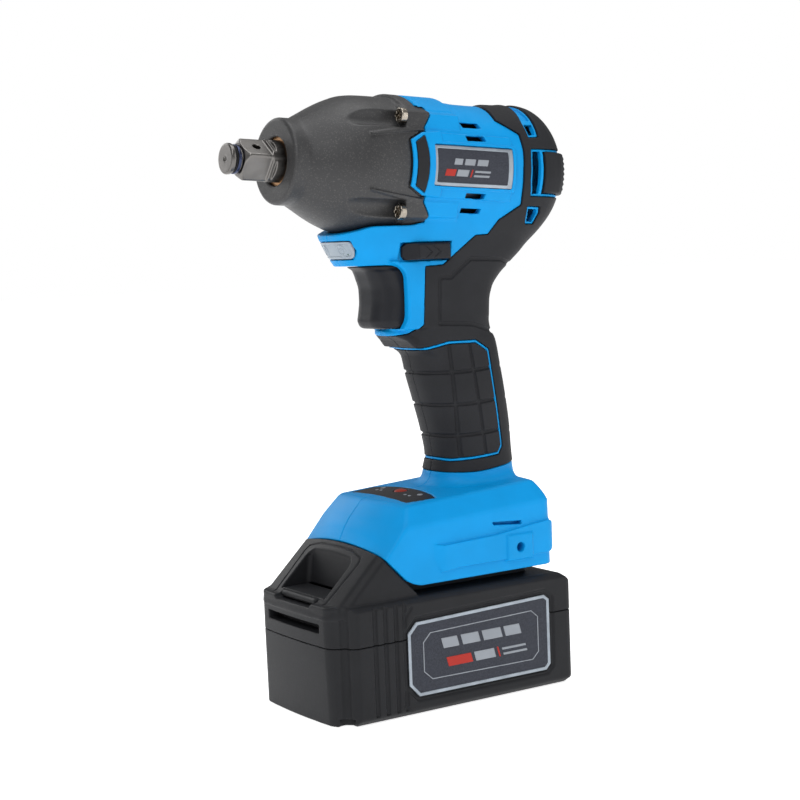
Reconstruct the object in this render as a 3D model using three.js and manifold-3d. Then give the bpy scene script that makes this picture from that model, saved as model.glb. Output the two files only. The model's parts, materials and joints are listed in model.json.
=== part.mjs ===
// Cordless impact wrench with a 1/2 inch square drive and a slide-on battery.
// Millimetres, +X towards the nose, +Y the tool's left side, +Z up.
// The origin is the middle of the battery's bottom face.
// Drive train parts are drawn about the barrel's own axis, which tilts nose-up by BARREL_TILT.
import * as THREE from 'three';
import { mergeVertices } from 'three/addons/utils/BufferGeometryUtils.js';
import Module from 'manifold-3d';

const wasm = await Module();
wasm.setup();

// ---- driving dimensions ----
const GAP = 0.3;                      // clearance between neighbouring pieces
const BARREL_TILT = THREE.MathUtils.degToRad(3.28);
const BARREL_X = 3.86;                // where the barrel's own origin sits
const BARREL_Z = 224.67;
const DRIVE_FLAT = 12.7;              // across the flats of the square drive
const DRIVE_CORNER = 17.0;            // across its rounded corners
const DRIVE_TURN = THREE.MathUtils.degToRad(9.14);
const TIP_S = 79.2;                   // tip of the drive, along the barrel
const CASE_FRONT = 56.9;
const CASE_REAR = 0;
const BARREL_REAR = -80;
const SKIN = 1.6;                     // thickness of the soft overmould
const WALL = 3.4;                     // housing wall, overmould included
const SCREW_S = 9.8;                  // face under the four case screws' heads
const SCREW_Y = 23.4;
const SCREW_H = 19.5;
const GEAR_MODULE = 0.8;
const SUN_TEETH = 10;
const PLANET_TEETH = 20;
const RING_TEETH = 50;
const PLANET_ORBIT = GEAR_MODULE * (SUN_TEETH + PLANET_TEETH) / 2;
const PLANET_ANGLES = [90, 210, 330];
const GEAR_S = -10.4;                 // rear face of the planet gears
const GEAR_WIDTH = 7;
const HAMMER_REAR = 12;
const HAMMER_FRONT = 31.8;
const HAMMER_R = 21;
const STATOR_REAR = -45;
const STATOR_FRONT = -21;
const BATTERY_LENGTH = 115.5;
const BATTERY_HALF_WIDTH = 34.9;
const PACK_SPLIT_Z = 32;              // parting line of the battery's two cases
const PACK_TOP_Z = 48.5;
const WEDGE_HALF_WIDTH = 30.5;
const RAIL_HALF_WIDTH = 21;
const RAIL_TOP_Z = 58;
const HOOK_X = -31.9;                 // belt hook's screw hole, and the boss face's distance from Y = 0
const HOOK_Y = 34.4;
const HOOK_Z = 62.6;
const HOOK_HOLE_R = 2;
const PANEL_FROM = 0.6;               // control panel's ends along X, on top of the base
const PANEL_TO = 16.2;
const PANEL_HALF_WIDTH = 19.5;
const BUTTON_X = 5.6;
const BUTTON_Z = 88;
const CELL_R = 9.1;
const CELL_LENGTH = 64;
const CELL_PITCH = 18.7;

// ---- materials ----
function finish(colour, roughness, metalness) {
  return new THREE.MeshStandardMaterial({ color: colour, roughness, metalness });
}
const BLUE = finish(0x0092dc, 0.45, 0);
const SOFT_BLACK = finish(0x27282a, 0.8, 0);
const HARD_BLACK = finish(0x1c1d1f, 0.5, 0);
const CASE_GREY = finish(0x3a3b3d, 0.5, 0.6);
const STEEL = finish(0x9fa1a4, 0.3, 1);
const DARK_STEEL = finish(0x4c4e52, 0.35, 1);
const LABEL_GREY = finish(0x55585d, 0.35, 0.3);
const RED = finish(0xb3201c, 0.5, 0);
const CLEAR = finish(0xdfe9ef, 0.1, 0);
const BOARD_GREEN = finish(0x1f5a34, 0.6, 0);
const COPPER = finish(0xb06a3a, 0.4, 0.9);

// ---- solids ----
function signedVolume(geometry) {
  const at = geometry.attributes.position;
  const index = geometry.index.array;
  const corner = [new THREE.Vector3(), new THREE.Vector3(), new THREE.Vector3()];
  let total = 0;
  for (let i = 0; i < index.length; i += 3) {
    corner.forEach((v, k) => v.fromBufferAttribute(at, index[i + k]));
    total += corner[0].dot(corner[1].clone().cross(corner[2])) / 6;
  }
  return total;
}

// Turns a closed three.js geometry into a solid that can be cut and joined.
function solidOf(source) {
  const bare = new THREE.BufferGeometry();
  bare.setAttribute('position', source.attributes.position.clone());
  if (source.index) bare.setIndex(source.index.clone());
  const merged = mergeVertices(bare, 1e-4);
  const inward = signedVolume(merged) < 0;
  const old = merged.index.array;
  const kept = [];
  for (let i = 0; i < old.length; i += 3) {
    const [a, b, c] = [old[i], old[i + 1], old[i + 2]];
    if (a === b || b === c || c === a) continue;
    kept.push(a, inward ? c : b, inward ? b : c);
  }
  return new wasm.Manifold(new wasm.Mesh({
    numProp: 3,
    vertProperties: new Float32Array(merged.attributes.position.array),
    triVerts: new Uint32Array(kept),
  }));
}

function geometryOf(solid) {
  const mesh = solid.getMesh();
  const geometry = new THREE.BufferGeometry();
  geometry.setAttribute('position', new THREE.BufferAttribute(mesh.vertProperties, 3));
  geometry.setIndex(new THREE.BufferAttribute(mesh.triVerts, 1));
  geometry.computeVertexNormals();
  return geometry;
}

function joined(solids) {
  return solids.reduce((sum, next) => sum.add(next));
}

function cut(solid, tools) {
  return tools.reduce((rest, tool) => rest.subtract(tool), solid);
}

// A box from its lowest corner to its highest corner.
function block(low, high) {
  const size = high.map((value, i) => value - low[i]);
  const box = new THREE.BoxGeometry(...size);
  box.translate(low[0] + size[0] / 2, low[1] + size[1] / 2, low[2] + size[2] / 2);
  return solidOf(box);
}

// A body of revolution about X. The profile is a list of [along, radius].
function turned(profile, segments = 20) {
  const points = profile.map(([along, radius]) => new THREE.Vector2(radius, along));
  const onAxis = profile[0][1] === 0 && profile[profile.length - 1][1] === 0;
  if (!onAxis) points.push(points[0].clone());
  const lathe = new THREE.LatheGeometry(points, segments);
  lathe.rotateZ(-Math.PI / 2);
  return solidOf(lathe);
}

function rod(from, to, radius, y = 0, z = 0, segments = 12) {
  const cylinder = new THREE.CylinderGeometry(radius, radius, to - from, segments);
  cylinder.rotateZ(-Math.PI / 2);
  cylinder.translate((from + to) / 2, y, z);
  return solidOf(cylinder);
}

function crossRod(x, z, yFrom, yTo, radius, segments = 16) {
  const cylinder = new THREE.CylinderGeometry(radius, radius, yTo - yFrom, segments);
  cylinder.translate(x, (yFrom + yTo) / 2, z);
  return solidOf(cylinder);
}

// A tube about X between two radii.
function sleeve(from, to, inner, outer, segments = 20) {
  return turned([[from, inner], [to, inner], [to, outer], [from, outer]], segments);
}

// Moves every edge of a counter-clockwise or clockwise outline outwards by the same distance.
function grownOutline(outline, distance) {
  const count = outline.length;
  const turn = Math.sign(THREE.ShapeUtils.area(outline.map(([x, z]) => new THREE.Vector2(x, z))));
  const edges = outline.map(([x, z], i) => {
    const [nextX, nextZ] = outline[(i + 1) % count];
    const length = Math.hypot(nextX - x, nextZ - z);
    const normal = [turn * (nextZ - z) / length, -turn * (nextX - x) / length];
    return { normal, offset: normal[0] * x + normal[1] * z + distance };
  });
  return edges.map((edge, i) => {
    const before = edges[(i + count - 1) % count];
    const det = before.normal[0] * edge.normal[1] - before.normal[1] * edge.normal[0];
    return [
      (before.offset * edge.normal[1] - edge.offset * before.normal[1]) / det,
      (before.normal[0] * edge.offset - edge.normal[0] * before.offset) / det,
    ];
  });
}

// The biggest body of a solid, which drops the slivers that cutting can leave.
function biggest(solid) {
  return solid.decompose().reduce((best, next) => (next.volume() > best.volume() ? next : best));
}

// A flat outline given in X and Z, drawn out along Y.
function slab(outline, yFrom, yTo) {
  const shape = new THREE.Shape(outline.map(([x, z]) => new THREE.Vector2(x, z)));
  const extruded = new THREE.ExtrudeGeometry(shape, { depth: yTo - yFrom, bevelEnabled: false });
  extruded.rotateX(Math.PI / 2);
  extruded.translate(0, yTo, 0);
  return solidOf(extruded);
}

// A flat outline given in Y and Z, drawn out along X.
function plate(outline, from, to) {
  const shape = new THREE.Shape(outline.map(([y, z]) => new THREE.Vector2(y, z)));
  const extruded = new THREE.ExtrudeGeometry(shape, { depth: to - from, bevelEnabled: false });
  const axes = new THREE.Matrix4().makeBasis(
    new THREE.Vector3(0, 1, 0), new THREE.Vector3(0, 0, 1), new THREE.Vector3(1, 0, 0));
  extruded.applyMatrix4(axes);
  extruded.translate(from, 0, 0);
  return solidOf(extruded);
}

// One level ring of a loft: a rounded rectangle between rear and front, centred on Y = 0.
function levelRing({ z, rear, front, half, power }, inset, count) {
  const ring = [];
  const reach = (front - rear) / 2 - inset;
  const width = half - inset;
  for (let i = 0; i < count; i += 1) {
    const angle = 2 * Math.PI * i / count;
    const soften = (value) => Math.sign(value) * Math.abs(value) ** (2 / power);
    ring.push([
      (front + rear) / 2 + reach * soften(Math.cos(angle)),
      width * soften(Math.sin(angle)),
      z,
    ]);
  }
  return ring;
}

// Joins level rings, lowest first, into one closed body. The inset shrinks it on every side.
function loft(levels, inset = 0, count = 12) {
  const last = levels.length - 1;
  const rings = levels.map((level, i) => {
    const shift = i === 0 ? inset : (i === last ? -inset : 0);
    return levelRing({ ...level, z: level.z + shift }, inset, count);
  });
  const positions = rings.flat(2);
  const index = [];
  for (let r = 0; r < last; r += 1) {
    for (let i = 0; i < count; i += 1) {
      const a = r * count + i;
      const b = r * count + (i + 1) % count;
      index.push(a, b, b + count, a, b + count, a + count);
    }
  }
  for (let i = 1; i < count - 1; i += 1) {
    index.push(0, i + 1, i);
    index.push(last * count, last * count + i, last * count + i + 1);
  }
  const geometry = new THREE.BufferGeometry();
  geometry.setAttribute('position', new THREE.Float32BufferAttribute(positions, 3));
  geometry.setIndex(index);
  return solidOf(geometry);
}

// ---- frames ----
const barrelMatrix = new THREE.Matrix4()
  .makeRotationY(-BARREL_TILT)
  .setPosition(BARREL_X, 0, BARREL_Z);

// Moves a solid drawn about the barrel's axis into the tool's frame.
function fromBarrel(solid) {
  return solidOf(geometryOf(solid).applyMatrix4(barrelMatrix));
}

const tool = new THREE.Group();
const barrel = new THREE.Group();
barrel.position.set(BARREL_X, 0, BARREL_Z);
barrel.rotation.y = -BARREL_TILT;
tool.add(barrel);

function put(parent, name, solid, material) {
  const mesh = new THREE.Mesh(geometryOf(solid), material);
  mesh.name = name;
  parent.add(mesh);
}

// ---- hammer case ----
function caseOutside(grow) {
  const profile = [
    [CASE_REAR - grow, 0], [CASE_REAR - grow, 29 + grow], [16, 28.9 + grow], [26.9, 28.3 + grow],
    [33.1, 26.4 + grow], [39.3, 23.5 + grow], [44.9, 20.5 + grow], [49, 18.6 + grow],
    [50, 17.65 + grow], [55, 17.65 + grow], [CASE_FRONT + grow, 15.8 + grow], [CASE_FRONT + grow, 0],
  ];
  const bosses = screwPlaces().map(([y, h]) => rod(CASE_REAR - grow, SCREW_S, 5 + grow, y, h, 12));
  return joined([turned(profile), ...bosses]);
}

function screwPlaces() {
  return [[SCREW_Y, SCREW_H], [SCREW_Y, -SCREW_H], [-SCREW_Y, -SCREW_H], [-SCREW_Y, SCREW_H]];
}

// Clearance holes for the case screws, each with an open pocket in front of its head.
function screwHoles(from) {
  return screwPlaces().flatMap(([y, h]) => [
    rod(from, SCREW_S + 1, 2.3, y, h, 8), rod(SCREW_S, 32, 3.9, y, h, 12),
  ]);
}

function hammerCase() {
  const bore = turned([
    [-1, 0], [-1, 25.6], [14, 25.6], [26, 24.6], [31, 22.8], [41, 21],
    [41, 10.4], [55.6, 10.4], [55.6, 9.9], [58, 9.9], [58, 0],
  ]);
  const spigot = sleeve(-14, 0.5, 24.7, 26.6);
  return cut(joined([caseOutside(0).subtract(bore), spigot]), screwHoles(-15));
}

function caseScrew([y, h]) {
  const head = turned([
    [SCREW_S + GAP, 0], [SCREW_S + GAP, 3.5], [SCREW_S + 2, 3.3], [SCREW_S + 2.8, 2.2], [SCREW_S + 2.8, 0],
  ], 12);
  const shank = rod(-14, SCREW_S + 1, 2, 0, 0, 8);
  const recess = rod(SCREW_S + 1.4, SCREW_S + 3, 1.4, 0, 0, 6);
  return head.add(shank).subtract(recess).translate([0, y, h]);
}

// ---- square drive ----
function anvil() {
  const squareEnd = 73.6;
  const collarFront = 60.9;
  const squareStart = 58;
  const box = new THREE.BoxGeometry(squareEnd - squareStart, DRIVE_FLAT, DRIVE_FLAT);
  box.rotateX(Math.PI / 4 - DRIVE_TURN);
  box.translate((squareEnd + squareStart) / 2, 0, 0);
  const corners = turned([
    [50, 0], [50, DRIVE_CORNER / 2], [71.4, DRIVE_CORNER / 2], [squareEnd, 6.4], [squareEnd, 0],
  ], 24);
  const square = solidOf(box).intersect(corners);
  const body = turned([
    [36.6, 0], [36.6, 7.5], [38.7, 7.5], [38.7, 13], [40.4, 13], [40.4, 8.3], [56.4, 8.3], [56.4, 8.5], [collarFront, 8.5],
    [collarFront + 0.8, 7.4], [collarFront + 0.8, 4.9], [77, 4.9], [77, 6.25], [78.7, 6.25],
    [TIP_S, 5.7], [TIP_S, 0],
  ]);
  const ears = block([32.6, -5, -20], [39, 5, 20]).subtract(block([32, -6, -9.2], [36.6, 6, 9.2]));
  const detent = solidOf(new THREE.CylinderGeometry(1.65, 1.65, 20, 12));
  const hole = detent.rotate([45 - THREE.MathUtils.radToDeg(DRIVE_TURN), 0, 0]).translate([67, 0, 0]);
  const centreHole = rod(78, 80, 0.6, 0, 0, 8);
  const pilot = rod(35, 40, 5.3, 0, 0);
  return cut(joined([body, square, ears]), [hole, centreHole, pilot]);
}

function ringAround(s, width, inner, outer) {
  return sleeve(s, s + width, inner, outer, 20);
}

// ---- hammer and spindle ----
function hammer() {
  const body = turned([
    [HAMMER_REAR, 8.1], [HAMMER_FRONT, 8.1], [HAMMER_FRONT, HAMMER_R], [HAMMER_REAR, HAMMER_R],
  ]);
  const pocket = sleeve(HAMMER_REAR - 1, 26, 11.4, 17);
  const lug = block([HAMMER_FRONT - 1, 8, -6], [38, 19, 6]);
  const lugs = joined([lug, lug.mirror([0, 1, 0])]);
  const grooves = ballPlaces().map(([y, h]) => rod(13.3, 26.7, 2.7, y, h, 12));
  return cut(joined([body, lugs]), [pocket, ...grooves]);
}

function ballPlaces() {
  return [[0, 7.6], [0, -7.6]];
}

const BALL_S = 16;

function camSpindle() {
  const shaft = turned([[-2.9, 0], [-2.9, 7.8], [31, 7.8], [31, 5], [35.9, 5], [35.9, 0]]);
  const frontPlate = turned([[-2.9, 0], [-2.9, 18.4], [0.6, 18.4], [0.6, 0]]);
  const rearPlate = sleeve(-13.4, -10.9, 5.3, 17.6);
  const webs = PLANET_ANGLES.map((angle) => block([-11.5, -3, -17.2], [-2.5, 3, -10.8])
    .rotate([angle - 90, 0, 0]));
  const pins = PLANET_ANGLES.map((angle) => planetRod(angle, -14, -0.6, 2.2));
  const sunRoom = rod(-14, -2, 5.3, 0, 0);
  const grooves = ballPlaces().map(([y, h]) => rod(BALL_S - 2.7, BALL_S + 2.7, 2.7, y, h, 12));
  const centre = rod(-4, 1.5, 2, 0, 0, 8);
  return cut(joined([shaft, frontPlate, rearPlate, ...webs]), [...pins, sunRoom, ...grooves, centre]);
}

function planetCentre(angle) {
  const turn = THREE.MathUtils.degToRad(angle);
  return [PLANET_ORBIT * Math.cos(turn), PLANET_ORBIT * Math.sin(turn)];
}

function planetRod(angle, from, to, radius) {
  const [y, h] = planetCentre(angle);
  return rod(from, to, radius, y, h, 12);
}

function camBall([y, h]) {
  const ball = new THREE.SphereGeometry(2.35, 10, 6);
  ball.translate(BALL_S, y, h);
  return solidOf(ball);
}

class HelixCurve extends THREE.Curve {
  getPoint(t) {
    const angle = 2 * Math.PI * HammerSpring.turns * t;
    return new THREE.Vector3(
      HammerSpring.from + (HammerSpring.to - HammerSpring.from) * t,
      HammerSpring.radius * Math.cos(angle),
      HammerSpring.radius * Math.sin(angle),
    );
  }
}
const HammerSpring = { from: 2.6, to: 24, radius: 14.2, wire: 1.4, turns: 3.5 };

function circle(radius, sides) {
  const points = [];
  for (let i = 0; i < sides; i += 1) {
    const angle = 2 * Math.PI * i / sides;
    points.push(new THREE.Vector2(radius * Math.cos(angle), radius * Math.sin(angle)));
  }
  return new THREE.Shape(points);
}

function hammerSpring() {
  const coil = new THREE.ExtrudeGeometry(circle(HammerSpring.wire, 6), {
    steps: 35, extrudePath: new HelixCurve(), bevelEnabled: false,
  });
  return solidOf(coil);
}

// ---- gears ----
// Points of a toothed outline. Slack thins each tooth, or each gap of a ring gear.
function toothed(teeth, addendum, dedendum, slack) {
  const pitchRadius = GEAR_MODULE * teeth / 2;
  const flank = Math.tan(THREE.MathUtils.degToRad(22));
  const halfAt = (offset) => (Math.PI * GEAR_MODULE / 4 - slack - offset * flank) / (pitchRadius + offset);
  const outline = [];
  for (let tooth = 0; tooth < teeth; tooth += 1) {
    const middle = 2 * Math.PI * tooth / teeth;
    [[-dedendum, -1], [addendum, -1], [addendum, 1], [-dedendum, 1]].forEach(([offset, side]) => {
      const angle = middle + side * halfAt(offset);
      const radius = pitchRadius + offset;
      outline.push([radius * Math.cos(angle), radius * Math.sin(angle)]);
    });
  }
  return outline;
}

function planetGear(angle) {
  const [y, h] = planetCentre(angle);
  const bore = rod(GEAR_S - 1, GEAR_S + GEAR_WIDTH + 1, 2.2, 0, 0, 12);
  return plate(toothed(PLANET_TEETH, 0.62, 0.85, 0.16), GEAR_S, GEAR_S + GEAR_WIDTH)
    .subtract(bore).translate([0, y, h]);
}

function ringGear() {
  const space = toothed(RING_TEETH, 0.85, 0.62, -0.16).map(([y, h]) => {
    const half = Math.PI / RING_TEETH;
    return [y * Math.cos(half) - h * Math.sin(half), y * Math.sin(half) + h * Math.cos(half)];
  });
  const outside = rod(GEAR_S - 0.4, GEAR_S + GEAR_WIDTH, 24.2, 0, 0, 36);
  return outside.subtract(plate(space, GEAR_S - 1, GEAR_S + GEAR_WIDTH + 1));
}

// ---- motor ----
function motorShaft() {
  const sun = plate(toothed(SUN_TEETH, 0.62, 0.85, 0.16), -12.5, -3.6);
  return joined([rod(-66, -12, 2.5), sun]);
}

function rotorCore() {
  return sleeve(STATOR_REAR, STATOR_FRONT, 2.8, 11.6, 24);
}

function coolingFan() {
  const hub = sleeve(-57, -49.5, 2.8, 6, 12);
  const disc = sleeve(-51, -49.5, 5, 20);
  const blades = [];
  for (let i = 0; i < 9; i += 1) {
    blades.push(block([-57, -0.7, 5.5], [-50.5, 0.7, 19.5]).rotate([40 * i, 0, 0]));
  }
  return joined([hub, disc, ...blades]);
}

function statorCore() {
  const yoke = sleeve(STATOR_REAR, STATOR_FRONT, 19.8, 24, 24);
  const teeth = [];
  for (let i = 0; i < 6; i += 1) {
    teeth.push(block([STATOR_REAR, -2, 12.6], [STATOR_FRONT, 2, 21]).rotate([60 * i, 0, 0]));
  }
  return joined([yoke, ...teeth]);
}

// The red moulded insulator that carries the six coils.
function statorInsulator() {
  const ends = [[-47.5, -45.3], [-20.7, -18.6]];
  const rings = ends.map(([from, to]) => sleeve(from, to, 13, 21.5, 24));
  const coils = [];
  for (let i = 0; i < 6; i += 1) {
    coils.push(block([-46, -2, 15], [-20, 2, 18.6]).rotate([60 * i + 30, 0, 0]));
  }
  return joined([...rings, ...coils]);
}

function bearing(from, to, inner, outer) {
  return turned([
    [from, inner], [to, inner], [to, outer - 2], [to - 0.6, outer - 1.6], [to, outer - 1.2],
    [to, outer], [from, outer],
  ], 16);
}

function gearboxPlate() {
  return turned([
    [-18, 7.2], [-14.6, 7.2], [-14.6, 5.4], [-13.9, 5.4], [-13.9, 20], [-14.6, 24.2],
    [-16.2, 24.2], [-18, 20],
  ]);
}

// ---- housing ----
function barrelBody(inset) {
  const rear = BARREL_REAR + inset;
  return fromBarrel(turned([
    [rear, 0], [rear, 17 - inset], [rear + 3.5, 22 - inset], [rear + 8, 26.5 - inset],
    [rear + 15, 29.8 - inset], [-50, 30 - inset], [-45, 28.6 - inset], [-24, 28.6 - inset],
    [-9, 30.2 - inset], [-0.8, 30.2 - inset], [-0.8, 0],
  ], 20));
}

const HANDLE_LEVELS = [
  { z: 86, rear: -51, front: -8, half: 19, power: 2.6 },
  { z: 101, rear: -49, front: -11.9, half: 16.4, power: 2.4 },
  { z: 125, rear: -46.7, front: -6.6, half: 16.8, power: 2.4 },
  { z: 147, rear: -42.8, front: -1.6, half: 16.6, power: 2.4 },
  { z: 154, rear: -41, front: 6, half: 16.4, power: 2.6 },
  { z: 158, rear: -40.5, front: 8.6, half: 16.2, power: 3.2 },
  { z: 176, rear: -43, front: 8.6, half: 16.8, power: 3.4 },
  { z: 183, rear: -53, front: 9.5, half: 17.4, power: 3.4 },
  { z: 192, rear: -62, front: 9.5, half: 19, power: 3.4 },
  { z: 206, rear: -68, front: 9.5, half: 24, power: 3.4 },
];

const CHIN_LEVELS = [
  { z: 184.2, rear: -30, front: 31.5, half: 13, power: 3 },
  { z: 189, rear: -30, front: 34.2, half: 15, power: 3 },
  { z: 193, rear: -30, front: 36, half: 16.5, power: 3 },
  { z: 204, rear: -30, front: 37.6, half: 19, power: 3 },
];

const GUARD_LEVELS = [
  { z: 152.6, rear: -20, front: 4.5, half: 9, power: 2.4 },
  { z: 155, rear: -20, front: 13.4, half: 13, power: 2.4 },
  { z: 157.2, rear: -20, front: 13.4, half: 13, power: 2.4 },
];

const BASE_LEVELS = [
  { z: 52.7, rear: -49, front: 22, half: 33.4, power: 6 },
  { z: 56, rear: -50, front: 27, half: 33.4, power: 6 },
  { z: 64, rear: -51, front: 33, half: 33.2, power: 6 },
  { z: 70.5, rear: -51.5, front: 37.2, half: 32.6, power: 6 },
  { z: 78, rear: -52, front: 33.2, half: 31.6, power: 5 },
  { z: 84, rear: -51.5, front: 27.5, half: 28.5, power: 5 },
  { z: 87.6, rear: -51, front: 20, half: 24.5, power: 5 },
  { z: 89, rear: -50.7, front: 1, half: 22, power: 4 },
  { z: 91.5, rear: -50.5, front: -5, half: 18.5, power: 3 },
];

function toolBody(inset) {
  return joined([
    barrelBody(inset), loft(HANDLE_LEVELS, inset), loft(CHIN_LEVELS, inset),
    loft(GUARD_LEVELS, inset), loft(BASE_LEVELS, inset, 16),
  ]);
}

// Side outlines of the soft overmould, in X and Z.
const BARREL_SKIN = [
  [-34, 262], [-36, 246], [-46, 238], [-46, 212], [-35, 201], [-37, 195.5], [-27, 195.5], [-9, 182.5],
  [-1, 182.5], [0.5, 159], [5, 155.4], [12, 151], [-9, 152.2], [-26, 152.2], [-34, 146], [-40.5, 104],
  [-40, 100.5], [-4, 100.5], [-4, 94.5], [-60, 94.5], [-60, 170], [-100, 190], [-100, 262],
];
const GRIP_SKIN = [
  [4, 149.4], [-9, 150.6], [-24, 150.6], [-32, 145], [-38.5, 103], [-38, 102], [-5, 102],
];

// The air windows near the rear, as boxes about the barrel.
function ventBoxes() {
  const boxes = [];
  boxes.push(block([-60, 20, -9.5], [-52, 40, 9.5]));
  boxes.push(block([-58.5, 12, 15.5], [-53, 40, 24]));
  boxes.push(block([-59, 12, -22], [-53.5, 40, -15.5]));
  return boxes.flatMap((box) => [box, box.mirror([0, 1, 0])]).map(fromBarrel);
}

function housingCavity() {
  const mouth = fromBarrel(rod(-30, 2, 27, 0, 0, 20));
  const triggerSlot = block([-12, -13, 157.6], [40, 13, 183.9]);
  const lever = block([-13.5, -30, 185.4], [13.5, 30, 193.3]);
  const lamp = block([28, -11.3, 187.2], [40, 11.3, 194.6]);
  const rail = block([-45, -22, 48], [50, 22, 59]);
  const flange = block([-45, -25.5, 56.1], [50, 25.5, 59]);
  const labels = [1, -1].map((side) => fromBarrel(
    side > 0 ? block([-41.3, 28.6, -8.3], [-2.2, 32, 8.3]) : block([-41.3, -32, -8.3], [-2.2, -28.6, 8.3])));
  const panel = block(
    [PANEL_FROM - GAP, -PANEL_HALF_WIDTH - GAP, 86], [PANEL_TO + GAP, PANEL_HALF_WIDTH + GAP, 95]);
  return [
    toolBody(WALL), fromBarrel(caseOutside(GAP)), mouth, triggerSlot, lever, lamp, rail, flange, panel,
    ...labels, ...ventBoxes(),
  ];
}

function bearingSeat() {
  return fromBarrel(sleeve(-66, -61, 8.5, 26.5));
}

// Flat bosses on the base's sides, each with the screw hole of a belt hook.
function hookBosses() {
  const boss = block([HOOK_X - 6.5, 29, HOOK_Z - 4.9], [HOOK_X + 6.5, HOOK_Y, HOOK_Z + 4.9]);
  return joined([boss, boss.mirror([0, 1, 0])]);
}

function screwTowers() {
  return screwPlaces().map(([y, h]) => fromBarrel(rod(-20, -1.2, 5.4, y, h, 8)));
}

function halfSpace(side) {
  return side > 0 ? block([-200, 0.15, -10], [200, 80, 300]) : block([-200, -80, -10], [200, -0.15, 300]);
}

function skinOf(outline, full, core) {
  return full.intersect(slab(outline, -60, 60)).subtract(core);
}

function buildShells() {
  const outside = toolBody(0);
  const skinCore = toolBody(SKIN);
  const seatCore = toolBody(SKIN + GAP);
  const openings = housingCavity();
  const bumperRoom = fromBarrel(block([-90, -8.6, -7.6], [-74.5, 8.6, 11.6]));
  const shaftRoom = fromBarrel(rod(-67, -47.8, 3, 0, 0));
  const seats = [BARREL_SKIN, GRIP_SKIN].map((outline) => (
    skinOf(grownOutline(outline, GAP), toolBody(-1), seatCore)));
  const holes = screwPlaces().map(([y, h]) => fromBarrel(rod(-15, 3, 2.3, y, h, 8)));
  const holder = joined([cut(outside, [...openings, ...seats]), bearingSeat()]);
  const towers = joined(screwTowers()).subtract(fromBarrel(rod(-30, 2, 27, 0, 0, 20)));
  const hookHole = crossRod(HOOK_X, HOOK_Z, -40, 40, HOOK_HOLE_R, 12);
  const casing = cut(joined([holder, towers, hookBosses()]), [...holes, bumperRoom, shaftRoom, hookHole]);
  const barrelSkin = cut(skinOf(BARREL_SKIN, outside, skinCore), [...openings.slice(1), bumperRoom]);
  const gripSkin = skinOf(GRIP_SKIN, outside, skinCore);
  return { casing, barrelSkin, gripSkin };
}

// ---- controls ----
const TRIGGER_OUTLINE = [
  [28.6, 183.3], [23.6, 180.4], [20.8, 175.5], [20.2, 170], [20.9, 164.5], [22.8, 160.6],
  [21.5, 158.3], [13, 158], [8, 158], [-1, 158], [-1, 183.3],
];

function trigger() {
  return slab(TRIGGER_OUTLINE, -12.4, 12.4);
}

function triggerSwitch() {
  const body = block([-32, -9, 160], [-9.5, 9, 181]);
  return body.add(block([-10, -2.5, 168], [-8.4, 2.5, 173]));
}

const LEVER_Y = 20.4;

function directionLever() {
  const bar = slab([[-11, 185.9], [-11, 192.6], [12.4, 192.6], [12.4, 185.9]], -LEVER_Y, LEVER_Y);
  const relief = block([-14, -12, 184], [-3, 12, 194]);
  const front = block([5, -12, 184], [14, 12, 194]);
  const ramp = slab([[6, 185], [6, 194], [16, 194], [16, 185]], 17.5, 30);
  return cut(bar, [relief, front, ramp, ramp.mirror([0, 1, 0])]);
}

function controlPanel() {
  const outline = [[PANEL_FROM, 87.5], [PANEL_TO, 86.3], [PANEL_TO, 87.7], [PANEL_FROM, 88.9]];
  const panel = slab(outline, -PANEL_HALF_WIDTH, PANEL_HALF_WIDTH);
  return panel.subtract(solidOf(buttonCylinder(3.4, 6)));
}

function buttonCylinder(radius, height) {
  const cylinder = new THREE.CylinderGeometry(radius, radius, height, 20);
  cylinder.rotateX(Math.PI / 2);
  cylinder.translate(BUTTON_X, 0, BUTTON_Z);
  return cylinder;
}

function lampLens() {
  return block([31, -11, 187.5], [35.4, 11, 194.3]).subtract(block([30, -9, 188.5], [33.6, 9, 193.3]));
}

function nameplate(side) {
  const low = side > 0 ? [-41, 28.9, -8] : [-41, -29.9, -8];
  const high = side > 0 ? [-2.5, 29.9, 8] : [-2.5, -28.9, 8];
  return block(low, high);
}

function rearBumper() {
  return plate([[-8.2, -7.2], [8.2, -7.2], [8.2, 11.2], [-8.2, 11.2]], -82.6, -74.8);
}

// ---- battery ----
function packOutline(inset) {
  const x = BATTERY_LENGTH / 2 - inset;
  const y = BATTERY_HALF_WIDTH - inset;
  return [
    [x, -24], [x, 24], [52, y], [-53, y], [-x, y - 5], [-x, -(y - 5)], [-53, -y], [52, -y],
  ];
}

function upright(outline, zFrom, zTo) {
  const shape = new THREE.Shape(outline.map(([x, y]) => new THREE.Vector2(x, y)));
  const extruded = new THREE.ExtrudeGeometry(shape, { depth: zTo - zFrom, bevelEnabled: false });
  extruded.translate(0, 0, zFrom);
  return solidOf(extruded);
}

function batteryLower() {
  const tub = upright(packOutline(0), 0, PACK_SPLIT_Z - 0.15);
  return tub.subtract(upright(packOutline(1.8), 2, PACK_SPLIT_Z + 1)).subtract(labelRoom());
}

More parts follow.
